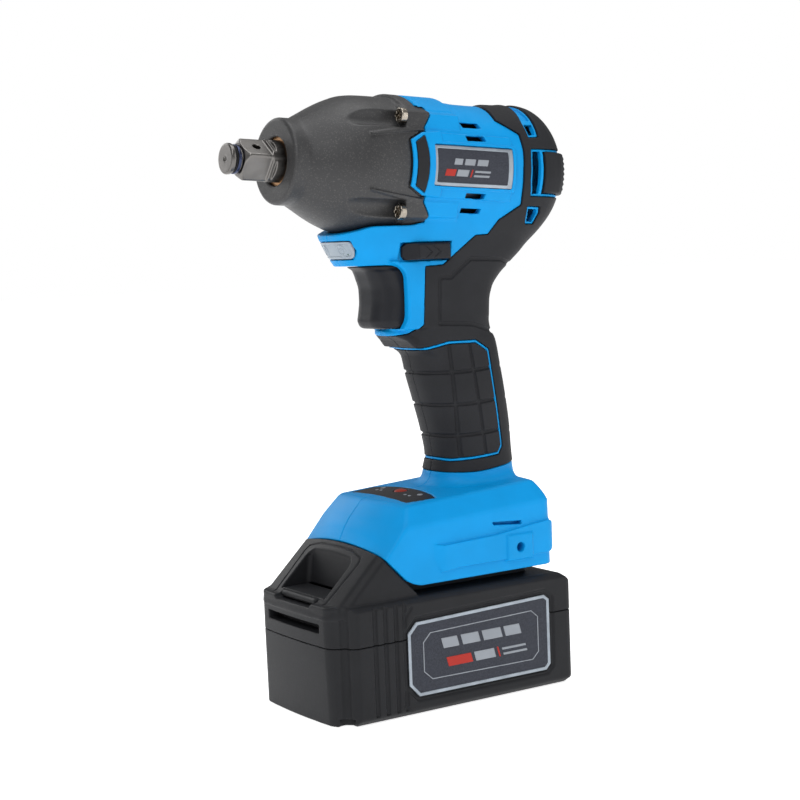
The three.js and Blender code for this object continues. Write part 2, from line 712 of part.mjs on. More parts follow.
function batteryUpper() {
  const lid = upright(packOutline(0), PACK_SPLIT_Z + 0.15, PACK_TOP_Z)
    .subtract(upright(packOutline(1.8), PACK_SPLIT_Z - 1, PACK_TOP_Z - 2.2));
  const wedge = slab([
    [55.6, PACK_TOP_Z - 2.2], slopePoint(28, 0), slopePoint(0, 0), [33.8, 64], [28, 56],
    [22.4, 52.2], [22.4, PACK_TOP_Z - 2.2],
  ], -WEDGE_HALF_WIDTH, WEDGE_HALF_WIDTH);
  const rail = block([-44, -RAIL_HALF_WIDTH, PACK_TOP_Z - 1], [26, RAIL_HALF_WIDTH, RAIL_TOP_Z])
    .add(block([-44, -RAIL_HALF_WIDTH - 3, 56.5], [24, RAIL_HALF_WIDTH + 3, RAIL_TOP_Z]));
  const inside = block([-41, -16, PACK_TOP_Z - 4], [20, 16, RAIL_TOP_Z - 2.2]);
  const buttonRoom = slopeBlock(5.7, 22, -2.5, 6, 15.2);
  const deep = slopeBlock(4, 21, -5, -2.3, 12);
  return cut(joined([lid, wedge, rail]), [inside, buttonRoom, deep, labelRoom()]);
}

function labelRoom() {
  const groove = block([-46, 33.9, 7.4], [28, 40, 39]);
  return groove.add(groove.mirror([0, 1, 0]));
}

function batteryLabel(side) {
  const low = side > 0 ? [-45.6, 34.2, 7.8] : [-45.6, -35.1, 7.8];
  const high = side > 0 ? [27.6, 35.1, 38.6] : [27.6, -34.2, 38.6];
  return block(low, high);
}

// The latch button lies on the slope at the front of the pack and slides down it.
// Places there are given as a distance down the slope and a height out of it.
const SLOPE_TOP = [35.2, 66.6];
const SLOPE_DOWN = [0.723, -0.691];

function slopePoint(down, out) {
  return [
    SLOPE_TOP[0] + down * SLOPE_DOWN[0] - out * SLOPE_DOWN[1],
    SLOPE_TOP[1] + down * SLOPE_DOWN[1] + out * SLOPE_DOWN[0],
  ];
}

function slopeBlock(top, bottom, deep, out, half) {
  const corners = [[top, deep], [bottom, deep], [bottom, out], [top, out]];
  return slab(corners.map(([down, height]) => slopePoint(down, height)), -half, half);
}

function releaseButton() {
  return slopeBlock(6, 18, -2.2, 0.3, 14.8).add(slopeBlock(7, 13, -4.6, -2, 11));
}

function releaseSpring() {
  return slopeBlock(13.3, 20.7, -4.4, -2.8, 1.2);
}

function cellPair(column) {
  const x = (column - 2) * CELL_PITCH;
  const low = crossRod(x, 12.4, -CELL_LENGTH / 2, CELL_LENGTH / 2, CELL_R, 16);
  const high = crossRod(x, 12.4 + CELL_PITCH, -CELL_LENGTH / 2, CELL_LENGTH / 2, CELL_R, 16);
  const strip = block([x - 3.5, CELL_LENGTH / 2 - 0.5, 9], [x + 3.5, CELL_LENGTH / 2 + 0.3, 34]);
  return joined([low, high, strip]);
}

// ---- assembly ----
put(barrel, 'hammer_case', hammerCase(), CASE_GREY);
put(barrel, 'nose_bushing', sleeve(41.4, 55.3, 8.5, 10.1), COPPER);
screwPlaces().forEach((place, i) => put(barrel, `case_screw_${i + 1}`, caseScrew(place), STEEL));
put(barrel, 'anvil', anvil(), STEEL);
put(barrel, 'socket_retainer_ring', ringAround(75.4, 1.3, 5.2, 6.5), DARK_STEEL);
put(barrel, 'retainer_o_ring', ringAround(73.9, 1.2, 5.2, 6.1), SOFT_BLACK);
put(barrel, 'hammer', hammer(), DARK_STEEL);
put(barrel, 'hammer_spring', hammerSpring(), STEEL);
put(barrel, 'cam_spindle', camSpindle(), STEEL);
ballPlaces().forEach((place, i) => put(barrel, `cam_ball_${i + 1}`, camBall(place), STEEL));
PLANET_ANGLES.forEach((angle, i) => {
  put(barrel, `planet_gear_${i + 1}`, planetGear(angle), STEEL);
  put(barrel, `planet_pin_${i + 1}`, planetRod(angle, -13.2, -0.9, 1.9), DARK_STEEL);
});
put(barrel, 'ring_gear', ringGear(), DARK_STEEL);
put(barrel, 'gearbox_plate', gearboxPlate(), DARK_STEEL);
put(barrel, 'motor_shaft', motorShaft(), STEEL);
put(barrel, 'rotor_core', rotorCore(), DARK_STEEL);
put(barrel, 'cooling_fan', coolingFan(), HARD_BLACK);
put(barrel, 'stator_core', statorCore(), DARK_STEEL);
put(barrel, 'stator_insulator', statorInsulator(), RED);
put(barrel, 'front_bearing', bearing(-17.8, -14.9, 2.8, 6.9), STEEL);
put(barrel, 'rear_bearing', bearing(-65.7, -61.3, 2.8, 8.2), STEEL);
put(barrel, 'left_nameplate', nameplate(1), LABEL_GREY);
put(barrel, 'right_nameplate', nameplate(-1), LABEL_GREY);
put(barrel, 'rear_bumper', rearBumper(), SOFT_BLACK);

const shells = buildShells();
[['left', 1], ['right', -1]].forEach(([name, side]) => {
  const half = halfSpace(side);
  put(tool, `${name}_housing`, biggest(shells.casing.intersect(half)), BLUE);
  put(tool, `${name}_overmould`, biggest(shells.barrelSkin.intersect(half)), SOFT_BLACK);
  put(tool, `${name}_grip_panel`, biggest(shells.gripSkin.intersect(half)), SOFT_BLACK);
});
put(tool, 'trigger', trigger(), SOFT_BLACK);
put(tool, 'trigger_switch', triggerSwitch(), HARD_BLACK);
put(tool, 'direction_lever', directionLever(), HARD_BLACK);
put(tool, 'lamp_lens', lampLens(), CLEAR);
put(tool, 'lamp_board', block([31.2, -8.4, 189], [32.6, 8.4, 192.8]), BOARD_GREEN);
put(tool, 'control_panel', controlPanel(), HARD_BLACK);
put(tool, 'mode_button', solidOf(buttonCylinder(3, 3.2)), RED);
put(tool, 'controller_board', block([-42, -22, 66], [12, 22, 74]), BOARD_GREEN);
put(tool, 'terminal_block', block([-42, -14, 59.6], [-28, 14, 65.6]), HARD_BLACK);
put(tool, 'battery_lower_case', batteryLower(), HARD_BLACK);
put(tool, 'battery_upper_case', batteryUpper(), HARD_BLACK);
put(tool, 'battery_label_left', batteryLabel(1), LABEL_GREY);
put(tool, 'battery_label_right', batteryLabel(-1), LABEL_GREY);
put(tool, 'release_button', releaseButton(), HARD_BLACK);
put(tool, 'release_spring', releaseSpring(), STEEL);
for (let column = 0; column < 5; column += 1) {
  put(tool, `cell_pair_${column + 1}`, cellPair(column), BLUE);
}
put(tool, 'battery_board', block([-44, -20, 42], [10, 20, 43.6]), BOARD_GREEN);

export default tool;
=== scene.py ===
import itertools
import json
import math
from concurrent.futures import ThreadPoolExecutor

import bpy
import numpy as np
from mathutils import Matrix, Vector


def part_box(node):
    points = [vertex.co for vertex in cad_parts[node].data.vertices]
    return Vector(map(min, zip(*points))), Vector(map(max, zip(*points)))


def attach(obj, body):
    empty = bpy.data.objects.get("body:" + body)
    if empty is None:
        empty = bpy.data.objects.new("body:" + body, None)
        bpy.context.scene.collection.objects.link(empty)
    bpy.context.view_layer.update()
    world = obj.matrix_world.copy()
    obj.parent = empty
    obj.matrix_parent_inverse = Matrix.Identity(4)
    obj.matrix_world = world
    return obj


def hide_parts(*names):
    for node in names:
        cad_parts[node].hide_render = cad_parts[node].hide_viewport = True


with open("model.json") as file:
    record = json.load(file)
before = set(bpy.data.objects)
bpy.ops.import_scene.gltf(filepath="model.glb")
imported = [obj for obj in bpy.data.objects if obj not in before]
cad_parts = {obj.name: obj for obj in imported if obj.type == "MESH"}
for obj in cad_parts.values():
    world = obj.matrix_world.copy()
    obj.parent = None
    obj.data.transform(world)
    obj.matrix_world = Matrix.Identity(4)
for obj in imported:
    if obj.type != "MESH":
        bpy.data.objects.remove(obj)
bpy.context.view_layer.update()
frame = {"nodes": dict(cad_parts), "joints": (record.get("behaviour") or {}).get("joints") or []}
MM = 0.001
F32 = np.float32


# ---------------------------------------------------------------- camera
# Places and lengths below are in millimetres, in the CAD frame, until a mesh is written in metres.
def make_camera():
    place = np.array([409.573, 614.639, 195.834])
    azimuth, elevation, roll = 0.583, 0.094, -0.0381
    back = np.array([math.sin(azimuth) * math.cos(elevation),
                     math.cos(azimuth) * math.cos(elevation), math.sin(elevation)])
    level = np.cross(-back, (0, 0, 1))
    level /= np.linalg.norm(level)
    rise = np.cross(level, -back)
    across = math.cos(roll) * level + math.sin(roll) * rise
    upward = -math.sin(roll) * level + math.cos(roll) * rise
    data = bpy.data.cameras.new("camera")
    data.lens = 77.98
    data.sensor_width = 36
    data.clip_start = 0.01
    data.clip_end = 50
    camera = bpy.data.objects.new("camera", data)
    bpy.context.scene.collection.objects.link(camera)
    matrix = np.eye(4)
    matrix[:3, 0], matrix[:3, 1], matrix[:3, 2] = across, upward, back
    matrix[:3, 3] = place * MM
    camera.matrix_world = Matrix(matrix.tolist())
    bpy.context.scene.camera = camera


make_camera()

# ---------------------------------------------------------------- the barrel's own frame
spin = next(j for j in frame["joints"] if j["name"] == "spindle_spin")
ORIGIN = np.array(spin["pos_m"]) / MM
AXIS = np.array(spin["axis"]) / np.linalg.norm(spin["axis"])
COS_TILT, SIN_TILT = float(AXIS[0]), float(AXIS[2])


def from_barrel(s, y, h):
    """World place, in mm, of a point given along the barrel, across it, and above its axis."""
    return (s * COS_TILT - h * SIN_TILT + ORIGIN[0], y, s * SIN_TILT + h * COS_TILT + ORIGIN[2])


class Points:
    """Sample points with the coordinates that the fields use. Side -1 mirrors Y."""

    def __init__(self, xyz, side=1):
        self.x = xyz[:, 0].astype(F32)
        self.y = (xyz[:, 1] * side).astype(F32)
        self.z = xyz[:, 2].astype(F32)
        self.ay = np.abs(self.y)
        dx, dz = self.x - F32(ORIGIN[0]), self.z - F32(ORIGIN[2])
        self.s = dx * F32(COS_TILT) + dz * F32(SIN_TILT)
        self.h = dz * F32(COS_TILT) - dx * F32(SIN_TILT)
        self.rho = np.hypot(self.y, self.h)


# ---------------------------------------------------------------- distance fields, in mm, negative inside
def both(a, b, r=0.0):
    """Where a and b overlap, with the outer edge rounded to radius r."""
    if r <= 0:
        return np.maximum(a, b)
    u, v = a + r, b + r
    return np.hypot(np.maximum(u, 0), np.maximum(v, 0)) + np.minimum(np.maximum(u, v), 0) - r


def either(a, b, r=0.0):
    """a and b together, with the inner corner filleted to radius r."""
    return -both(-a, -b, r)


def without(a, b, r=0.0):
    return both(a, -b, r)


def several(shapes, r=0.0):
    total = shapes[0]
    for shape in shapes[1:]:
        total = either(total, shape, r)
    return total


def slab(v, low, high):
    return np.maximum(low - v, v - high)


def box(a, b, c, low, high, r=0.0):
    """A box with rounded edges along three coordinate arrays."""
    return both(both(slab(a, low[0], high[0]), slab(b, low[1], high[1]), r), slab(c, low[2], high[2]), r)


def squared_reach(u, v, start, end):
    """Squared distance from the straight line between two points."""
    ex, ey = end[0] - start[0], end[1] - start[1]
    pu, pv = u - F32(start[0]), v - F32(start[1])
    t = np.clip((pu * F32(ex) + pv * F32(ey)) * F32(1 / (ex * ex + ey * ey)), 0, 1)
    du, dv = pu - t * F32(ex), pv - t * F32(ey)
    return du * du + dv * dv


def polygon(u, v, corners):
    """Signed distance to a closed flat outline."""
    count = len(corners)
    nearest = np.full(u.shape, 1e9, F32)
    inside = np.zeros(u.shape, bool)
    for i in range(count):
        (ax, ay), (bx, by) = corners[i], corners[(i + 1) % count]
        np.minimum(nearest, squared_reach(u, v, corners[i], corners[(i + 1) % count]), out=nearest)
        if ay != by:
            pu, pv = u - F32(ax), v - F32(ay)
            crosses = (pv >= 0) != (v >= F32(by))
            if crosses.any():
                inside ^= crosses & (pu < pv * F32((bx - ax) / (by - ay)))
    distance = np.sqrt(nearest)
    return np.where(inside, -distance, distance)


def groove(u, v, line):
    """Distance from an open line of points, for grooves and ridges."""
    nearest = np.full(u.shape, 1e9, F32)
    for start, end in zip(line, line[1:]):
        np.minimum(nearest, squared_reach(u, v, start, end), out=nearest)
    return np.sqrt(nearest)


class Curve:
    """A smooth line through (place, value) pairs, with its slope."""

    def __init__(self, pairs, step=0.25):
        at = np.array([p[0] for p in pairs], float)
        to = np.array([p[1] for p in pairs], float)
        run = np.diff(at)
        slope = np.diff(to) / run
        tangent = np.zeros(len(at))
        tangent[0], tangent[-1] = slope[0], slope[-1]
        for i in range(1, len(at) - 1):
            if slope[i - 1] * slope[i] > 0:
                w1, w2 = 2 * run[i] + run[i - 1], run[i] + 2 * run[i - 1]
                tangent[i] = (w1 + w2) / (w1 / slope[i - 1] + w2 / slope[i])
        self.at = np.arange(at[0], at[-1] + step / 2, step)
        i = np.clip(np.searchsorted(at, self.at, "right") - 1, 0, len(at) - 2)
        t = (self.at - at[i]) / run[i]
        self.to = (to[i] * (1 + 2 * t) * (1 - t) ** 2 + run[i] * tangent[i] * t * (1 - t) ** 2
                   + to[i + 1] * t * t * (3 - 2 * t) + run[i] * tangent[i + 1] * t * t * (t - 1))
        self.slope = np.gradient(self.to, step)

    def __call__(self, v):
        return np.interp(v, self.at, self.to).astype(F32)

    def steepness(self, v):
        return (1 / np.sqrt(1 + np.interp(v, self.at, self.slope) ** 2)).astype(F32)


def turned(P, profile, grow=0.0):
    """A body of revolution about the barrel, from a Curve of radius along it."""
    return (P.rho - profile(P.s) - grow) * profile.steepness(P.s)


def rounded_column(P, rear, front, half, power):
    """A tall column whose level sections are superellipses, from Curves over height."""
    back, ahead, wide, p = rear(P.z), front(P.z), half(P.z), power(P.z)
    u = np.abs(P.x - (back + ahead) / 2) / ((ahead - back) / 2) + F32(1e-4)
    v = P.ay / wide + F32(1e-4)
    up, vp = u ** (p - 1), v ** (p - 1)
    f = (up * u + vp * v) ** (1 / p)
    gradient = np.hypot(up / ((ahead - back) / 2), vp / wide) * f ** (1 - p)
    return (f - 1) / np.maximum(gradient, 1e-3)


# ---------------------------------------------------------------- fields to meshes
POOL = ThreadPoolExecutor(4)


def sampled(field, xyz):
    chunks = [xyz[i:i + 50000] for i in range(0, len(xyz), 50000)]
    if not chunks:
        return np.zeros(0, F32)
    return np.concatenate(list(POOL.map(lambda part: field(part).astype(F32), chunks)))


TETRA = np.array([[1, 1, 1], [1, -1, -1], [-1, 1, -1], [-1, -1, 1]], F32)


def slope_of(field, xyz, step):
    values = [sampled(field, xyz + direction * F32(step)) for direction in TETRA]
    gradient = sum(value[:, None] * direction for value, direction in zip(values, TETRA)) / (4 * step)
    return sum(values) / 4, gradient


def grid(*axes):
    """Every combination of three lists of steps, one row each."""
    return np.stack(np.meshgrid(*axes, indexing="ij"), -1).reshape(-1, 3)


COARSE, FINE = 16, 4     # widths, in cells, of the blocks that are kept or dropped
REACH = {COARSE: 1.5, FINE: 1.65}


def net(field, low, high, cell):
    """Surface net of a distance field: vertices and quads, evaluated only near the surface."""
    low = np.array(low, float) - 2.2 * cell
    count = np.ceil((np.array(high, float) + 2.2 * cell - low) / cell).astype(int) + 1
    kept = grid(*[np.arange(math.ceil(c / COARSE)) for c in count]) * COARSE
    for width, finer in ((COARSE, FINE), (FINE, 1)):
        middle = low + (kept + width / 2) * cell
        near = np.abs(sampled(field, middle)) < width * cell * REACH[width]
        kept = kept[near]
        if finer > 1:
            inner = grid(*[np.arange(0, width, finer)] * 3)
            kept = (kept[:, None, :] + inner[None]).reshape(-1, 3)
            kept = kept[(kept < count - 1).all(1)]
    size = count + 6
    strides = np.array([size[1] * size[2], size[2], 1])
    marked = np.zeros(size, bool)
    for i, j, k in np.ndindex(FINE + 1, FINE + 1, FINE + 1):
        marked[kept[:, 0] + i, kept[:, 1] + j, kept[:, 2] + k] = True
    nodes = np.flatnonzero(marked)
    place = np.stack(np.unravel_index(nodes, size), -1)
    values = np.full(size, 50, F32).ravel()
    values[nodes] = sampled(field, (low + place * cell).astype(F32))
    cells = (kept[:, None, :] + grid(*[np.arange(FINE)] * 3)[None]).reshape(-1, 3) @ strides
    offsets = [np.array(o) for o in np.ndindex(2, 2, 2)]
    corners = [values[cells + o @ strides] for o in offsets]
    negative = sum((c < 0).astype(np.int8) for c in corners)
    active = (negative > 0) & (negative < 8)
    cells = cells[active]
    corners = [c[active] for c in corners]
    where = np.stack(np.unravel_index(cells, size), -1).astype(F32)
    total = np.zeros((len(cells), 3), F32)
    crossings = np.zeros(len(cells), F32)
    for i, a in enumerate(offsets):
        for axis in range(3):
            if a[axis]:
                continue
            b = a.copy()
            b[axis] = 1
            j = int(b @ (4, 2, 1))
            change = (corners[i] < 0) != (corners[j] < 0)
            t = np.where(change, corners[i] / np.where(change, corners[i] - corners[j], 1), 0)
            point = a + t[:, None] * (b - a)
            total += np.where(change[:, None], point, 0)
            crossings += change
    vertices = low + (where + total / crossings[:, None]) * cell
    lookup = np.full(values.shape, -1, np.int32)
    lookup[cells] = np.arange(len(cells))
    quads = []
    for axis in range(3):
        side_a, side_b = strides[(axis + 1) % 3], strides[(axis + 2) % 3]
        change = (corners[0] < 0) != (corners[(4, 2, 1)[axis]] < 0)
        at = cells[change]
        ring = np.stack([lookup[at - step] for step in (0, side_a, side_a + side_b, side_b)], 1)
        outward = corners[0][change] < 0
        ring = np.where(outward[:, None], ring, ring[:, ::-1])
        quads.append(ring[(ring >= 0).all(1)])
    return vertices.astype(F32), np.concatenate(quads)


def settled(field, vertices, cell, rounds=2):
    """Moves vertices onto the zero level, each by less than a cell."""
    home = vertices.copy()
    for _ in range(rounds):
        value, gradient = slope_of(field, vertices, 0.12 * cell)
        length = np.maximum((gradient ** 2).sum(1), 0.05)
        vertices = vertices - gradient * (value / length)[:, None]
        drift = vertices - home
        far = np.maximum(np.linalg.norm(drift, axis=1) / (0.8 * cell), 1)
        vertices = home + drift / far[:, None]
    return vertices


def to_mesh(name, vertices, faces):
    mesh = bpy.data.meshes.new(name)
    mesh.vertices.add(len(vertices))
    mesh.vertices.foreach_set("co", (np.asarray(vertices, F32) * F32(MM)).ravel())
    corners = faces.shape[1]
    mesh.loops.add(faces.size)
    mesh.loops.foreach_set("vertex_index", faces.astype(np.int32).ravel())
    mesh.polygons.add(len(faces))
    mesh.polygons.foreach_set("loop_start", np.arange(0, faces.size, corners, dtype=np.int32))
    mesh.polygons.foreach_set("use_smooth", np.ones(len(faces), bool))
    mesh.update(calc_edges=True)
    mesh.validate()
    piece = bpy.data.objects.new(name, mesh)
    bpy.context.scene.collection.objects.link(piece)
    return piece


def thinned(piece, target):
    """Decimates a piece to about target triangles, then drops the modifier."""
    quads = len(piece.data.polygons)
    if 2 * quads <= target:
        return
    modifier = piece.modifiers.new("thin", "DECIMATE")
    modifier.ratio = target / (2 * quads)
    bpy.context.view_layer.update()
    ready = piece.evaluated_get(bpy.context.evaluated_depsgraph_get())
    mesh = bpy.data.meshes.new_from_object(ready)
    piece.modifiers.clear()
    old = piece.data
    piece.data = mesh
    bpy.data.meshes.remove(old)
    mesh.name = piece.name


def sculpted(name, field, low, high, cell, target=120000):
    """A piece made from a distance field, with its normals taken from the field."""
    vertices, quads = net(field, low, high, cell)
    vertices = settled(field, vertices, cell)
    piece = to_mesh(name, vertices, quads)
    thinned(piece, target)
    mesh = piece.data
    place = np.zeros(len(mesh.vertices) * 3, F32)
    mesh.vertices.foreach_get("co", place)
    place = place.reshape(-1, 3) / F32(MM)
    _, gradient = slope_of(field, place, 0.15)
    normal = gradient / np.maximum(np.linalg.norm(gradient, axis=1), 1e-6)[:, None]
    mesh.polygons.foreach_set("use_smooth", np.ones(len(mesh.polygons), bool))
    mesh.normals_split_custom_set_from_vertices(normal)
    return piece


def mirrored(field):
    return lambda xyz: field(Points(xyz, -1))


def sided(field):
    return lambda xyz: field(Points(xyz))


# ---------------------------------------------------------------- shapes of the hammer case
CASE_PROFILE = Curve([(-1.6, 28.9), (10, 28.95), (17, 28.9), (22, 28.75), (26.9, 28.2), (33.1, 26.2),
                      (39.3, 23.4), (44.9, 20.4), (48.4, 18.5), (51, 17.0), (60, 17.0)])
SCREW_Y, SCREW_H = 23.4, 19.5
SCREWS = [(SCREW_Y, SCREW_H), (SCREW_Y, -SCREW_H), (-SCREW_Y, -SCREW_H), (-SCREW_Y, SCREW_H)]
SCREW_FACE = 9.8         # face under the heads, along the barrel
TORX_POINTS = 6


def facets(P, upper, lower, r):
    """Two flats along the barrel, 70 and 12 degrees above level, mirrored above, below and on both sides."""
    high = np.abs(P.h)
    steep = P.ay * F32(0.342) + high * F32(0.9397) - upper
    shallow = P.ay * F32(0.9781) + high * F32(0.2079) - lower
    return both(steep, shallow, r)


def boss_blocks(P):
    """The four faceted blocks that carry the case screws."""
    h = np.abs(P.h)
    arc = np.arctan2(h, P.ay) * F32(31)
    outline = polygon(P.s, arc, [(s, math.radians(a) * 31) for s, a in (
        (9.6, 57), (-3.0, 57), (-2.6, 41), (1.8, 29.5), (9.6, 29.5))])
    return both(both(facets(P, 28.44, 28.06, 0.8), outline, 0.5), 24.0 - P.rho)


def screw_reach(P):
    return np.hypot(P.ay - SCREW_Y, np.abs(P.h) - SCREW_H)


def case_outside(P, gap=0.0):
    cone = both(turned(P, CASE_PROFILE), P.s - 50.5, 0.5)
    ring = both(P.rho - 17.65, slab(P.s, 40, 56.9), 1.8)
    shell = both(either(cone, ring, 0.9), 0.7 - P.s, 0.4)
    # raised band round the rear edge, above and below
    band = both(P.rho - 30.4, slab(P.s, 0.7, 7.4), 1.3)
    band = both(band, 22.0 - np.abs(P.h), 1.0)
    shell = either(shell, band, 1.5)
    # thin tapered ribs beside the bosses
    middle = np.abs(P.h) - 11.2 - (27.6 - P.s) * 0.15
    rib = both(np.abs(middle) - 0.35 - (27.6 - P.s) * 0.03, P.rho - 29.7, 0.4)
    rib = both(rib, slab(P.s, 1.5, 27.6), 0.5)
    shell = either(shell, rib, 0.6)
    # concave ways in to the screws
    way = both(screw_reach(P) - 4.9, SCREW_FACE - P.s, 0.6)
    shell = without(shell, way, 0.5)
    return either(shell, boss_blocks(P), 0.5) - gap


def hammer_case(P):
    outside = case_outside(P)
    spigot = both(P.rho - 26.6, slab(P.s, -1.6, 5))
    shell = either(outside, spigot)
    reach = screw_reach(P)
    recess = both(reach - 3.6, slab(P.s, SCREW_FACE - 0.4, 12))
    shell = without(shell, recess, 0.3)
    # bore and nose opening
    bore = Curve([(-20, 25.6), (1, 25.6), (4, 24.1), (14, 24.1), (26, 23.6), (31, 22.4), (40.9, 21.0),
                  (41.1, 10.4), (55.6, 10.4), (55.8, 9.9), (60, 9.9)])
    hollow = turned(P, bore)
    lip = P.rho - 9.9 - np.maximum(P.s - 56.4, 0)
    shell = without(shell, np.minimum(hollow, both(lip, 50 - P.s)), 0.2)
    pads = flange_region(P)
    return without(shell, both(pads - 0.35, 28.0 - P.rho), 0.2)


def flange_region(P):
    """The hexagonal tongue of the housing that laps over the case's side."""
    outline = polygon(P.s, P.h, [(-6, 13.9), (3.0, 13.0), (9.4, 9.6), (9.1, 0), (9.3, -9.2), (3.0, -12.6),
                                 (-6, -13.4)])
    return both(both(outline, P.rho - 30.5, 0.5), 22 - P.ay)


# ---------------------------------------------------------------- shapes of the housing
BLUE_PROFILE = Curve([(-82, 9), (-79, 13), (-77, 16), (-75, 18.6), (-73.5, 20.7), (-71.5, 23.3), (-69, 25.7),
                      (-66, 27.7), (-63, 28.8), (-60, 29.2), (-56, 29.3), (-50, 28.7), (-44, 28.5),
                      (-35, 28.3), (-27, 28.35), (-21.5, 28.7), (0, 28.8), (12, 28.8)])
REAR_S = -76.0
BARREL_RISE = 0.85       # how far the soft overmould stands out of the barrel
GRIP_RISE = 0.35         # and out of the handle
SKIN = 1.5

REAR = Curve([(84, -50.6), (90, -50.3), (96, -49.5), (101, -49), (111, -48.4), (125, -46.7), (140, -44.2),
              (150, -42), (155, -39.3), (160, -37.8), (167, -38.0), (173, -39.6), (178, -43.4), (183, -49.3),
              (190, -57), (206, -64), (215, -66)])
FRONT = Curve([(84, -6.5), (90, -9.0), (95, -10.4), (98, -11.3), (101, -11.9), (109, -10.7), (125, -6.6),
               (136, -3.4), (147, -0.8), (151, 1.6), (154, 5), (157, 8.2), (160, 8.6), (215, 9.0)])
HALF = Curve([(84, 17.6), (92, 16.4), (101, 16.2), (111, 16.6), (125, 16.9), (140, 16.8), (154, 16.4),
              (170, 16.7), (183, 17.4), (192, 19), (200, 21.5), (215, 24)])
POWER = Curve([(84, 2.5), (110, 2.35), (140, 2.4), (154, 2.7), (162, 3.4), (215, 3.6)])


def handle(P):
    column = rounded_column(P, REAR, FRONT, HALF, POWER)
    return np.maximum(column, slab(P.z, 86, 212))


CHIN_FRONT = Curve([(176, 28.2), (184, 31.4), (188.5, 34.1), (193, 36.2), (198, 37.8), (206, 38.6)])
CHIN_HALF = Curve([(176, 13.0), (184, 14.2), (188.5, 16.2), (194, 18.2), (199, 19.6), (206, 21.2)])
STILL = Curve([(170, 3.0), (210, 3.0)])
CHIN_REAR = Curve([(170, -34.0), (210, -34.0)])


CHIN_TOP = Curve([(-20, 203), (0, 201.7), (9, 200.4), (24.4, 200.4), (32.3, 198.6), (41.8, 196.4)])


def chin(P):
    column = rounded_column(P, CHIN_REAR, CHIN_FRONT, CHIN_HALF, STILL)
    column = both(column, 184.0 - P.z, 0.8)
    return both(column, P.z - CHIN_TOP(P.x), 0.6)


def guard(P):
    """The short step that the trigger's lower end stands over."""
    outline = polygon(P.x, P.z, [(-8, 157.0), (13.6, 157.0), (13.9, 155.6), (12.6, 154.3), (9.6, 153.9),
                                 (6.3, 151.9), (3.5, 149.0), (-8, 146)])
    plan = (np.hypot(np.maximum(P.x - 1.0, 0) / 12.0, P.ay / 13.2) - 1) * 10
    return both(outline, plan, 1.2)


def barrel(P, rise=0.0):
    shell = turned(P, BLUE_PROFILE, rise)
    return both(both(shell, REAR_S - P.s, 3.0), P.s - 0.3, 0.5)


def barrel_details(P, shell):
    """Raised bands behind the case, terraces round the nameplate, and the tongue over the case."""
    high = np.abs(P.h)
    lobe = both(both(facets(P, 27.75, 27.5, 0.4), slab(P.s, -17.5, 0.2), 0.8), 14.9 - high, 0.4)
    crown = both(P.rho - 30.4, slab(P.s, -17.2, 0.3), 1.6)
    crown = both(crown, 22.6 - P.h, 0.8)
    shell = either(either(shell, lobe, 0.9), crown, 0.9)
    step = both(both(P.rho - 29.35, np.abs(P.h) - 13.3, 0.3), slab(P.s, -42.5, 0.2), 0.4)
    pad = both(both(P.rho - 29.9, np.abs(P.h) - 9.6, 0.3), slab(P.s, -43.5, 0.2), 0.4)
    shell = either(either(shell, step, 0.15), pad, 0.15)
    return either(shell, flange_region(P), 0.3)


CHEEK_FRONT = Curve([(155, 11.6), (157.2, 11.6), (158.7, 10.8), (160.7, 9.6), (163, 9.0), (170, 8.8),
                     (179, 9.0), (181, 9.8), (182.6, 11.2), (184, 13.4), (187, 19)])


def body(P, rise=0.0, detail=True):
    """The whole tool's outer skin, with the base left out."""
    shell = barrel(P, rise * BARREL_RISE)
    if detail:
        shell = barrel_details(P, shell)
    lower = either(handle(P) - rise * GRIP_RISE, chin(P), 3.5)
    lower = either(lower, guard(P), 3.0)
    cheek = both((P.x - CHEEK_FRONT(P.z)) * CHEEK_FRONT.steepness(P.z), slab(P.z, 157.0, 186), 0.5)
    cheek = both(both(cheek, P.ay - 16.4, 1.0), -6 - P.x)
    lower = either(lower, cheek, 1.0)
    lower = np.maximum(lower, P.z - 214)
    behind = np.clip((-20 - P.x) / 20, 0, 1)
    return np.where(P.x < -20, either(shell, lower, 5.0) * behind + either(shell, lower, 1.6) * (1 - behind),
                    either(shell, lower, 1.6))


# outlines of the soft overmould seen from the side: on the barrel in (along, above), on the handle in (x, z)
BARREL_EDGE = [(-45, 40), (-43.8, 28.9), (-39.6, 27.6), (-39.5, 24), (-39.2, 20.8), (-48.3, 15.2),
               (-48.6, 7.5), (-48.1, 0), (-48.6, -9), (-49.4, -14.6), (-39.9, -21.2), (-35.9, -27.4),
               (-29.7, -27.9), (-15.0, -40.6)]
HANDLE_EDGE = [(-0.4, 183.0), (1.2, 158.8), (6.2, 155.2), (15.2, 153.2), (30, 150)]
LOOP_OUTER = [(40, 145.0), (12.9, 148.9), (3.5, 148.6), (-2.6, 149.2), (-11.2, 151.2), (-24.9, 151.0),
              (-32.2, 146.5), (-37.8, 104.0), (-35.4, 100.4), (-14.0, 98.8), (-0.6, 101.1), (40, 106)]
LOOP_INNER = [(40, 143.6), (12.7, 147.5), (3.2, 147.2), (-2.6, 147.8), (-11.4, 149.7), (-24.4, 149.5),
              (-30.8, 145.6), (-36.4, 104.6), (-34.6, 101.8), (-14.0, 100.3), (-0.6, 102.6), (40, 107.5)]


def world_edge():
    points = [from_barrel(s, 0, h) for s, h in BARREL_EDGE]
    return [(x, z) for x, _, z in points] + HANDLE_EDGE


SOFT_OUTLINE = world_edge() + [(30, 70), (-110, 70), (-110, 290), (world_edge()[0][0], 290)]
COLLAR_LOW = Curve([(-60, 97.2), (-51, 96.8), (-38, 95.6), (-22, 94.3), (-9, 94.7), (0, 95.6), (20, 98)])


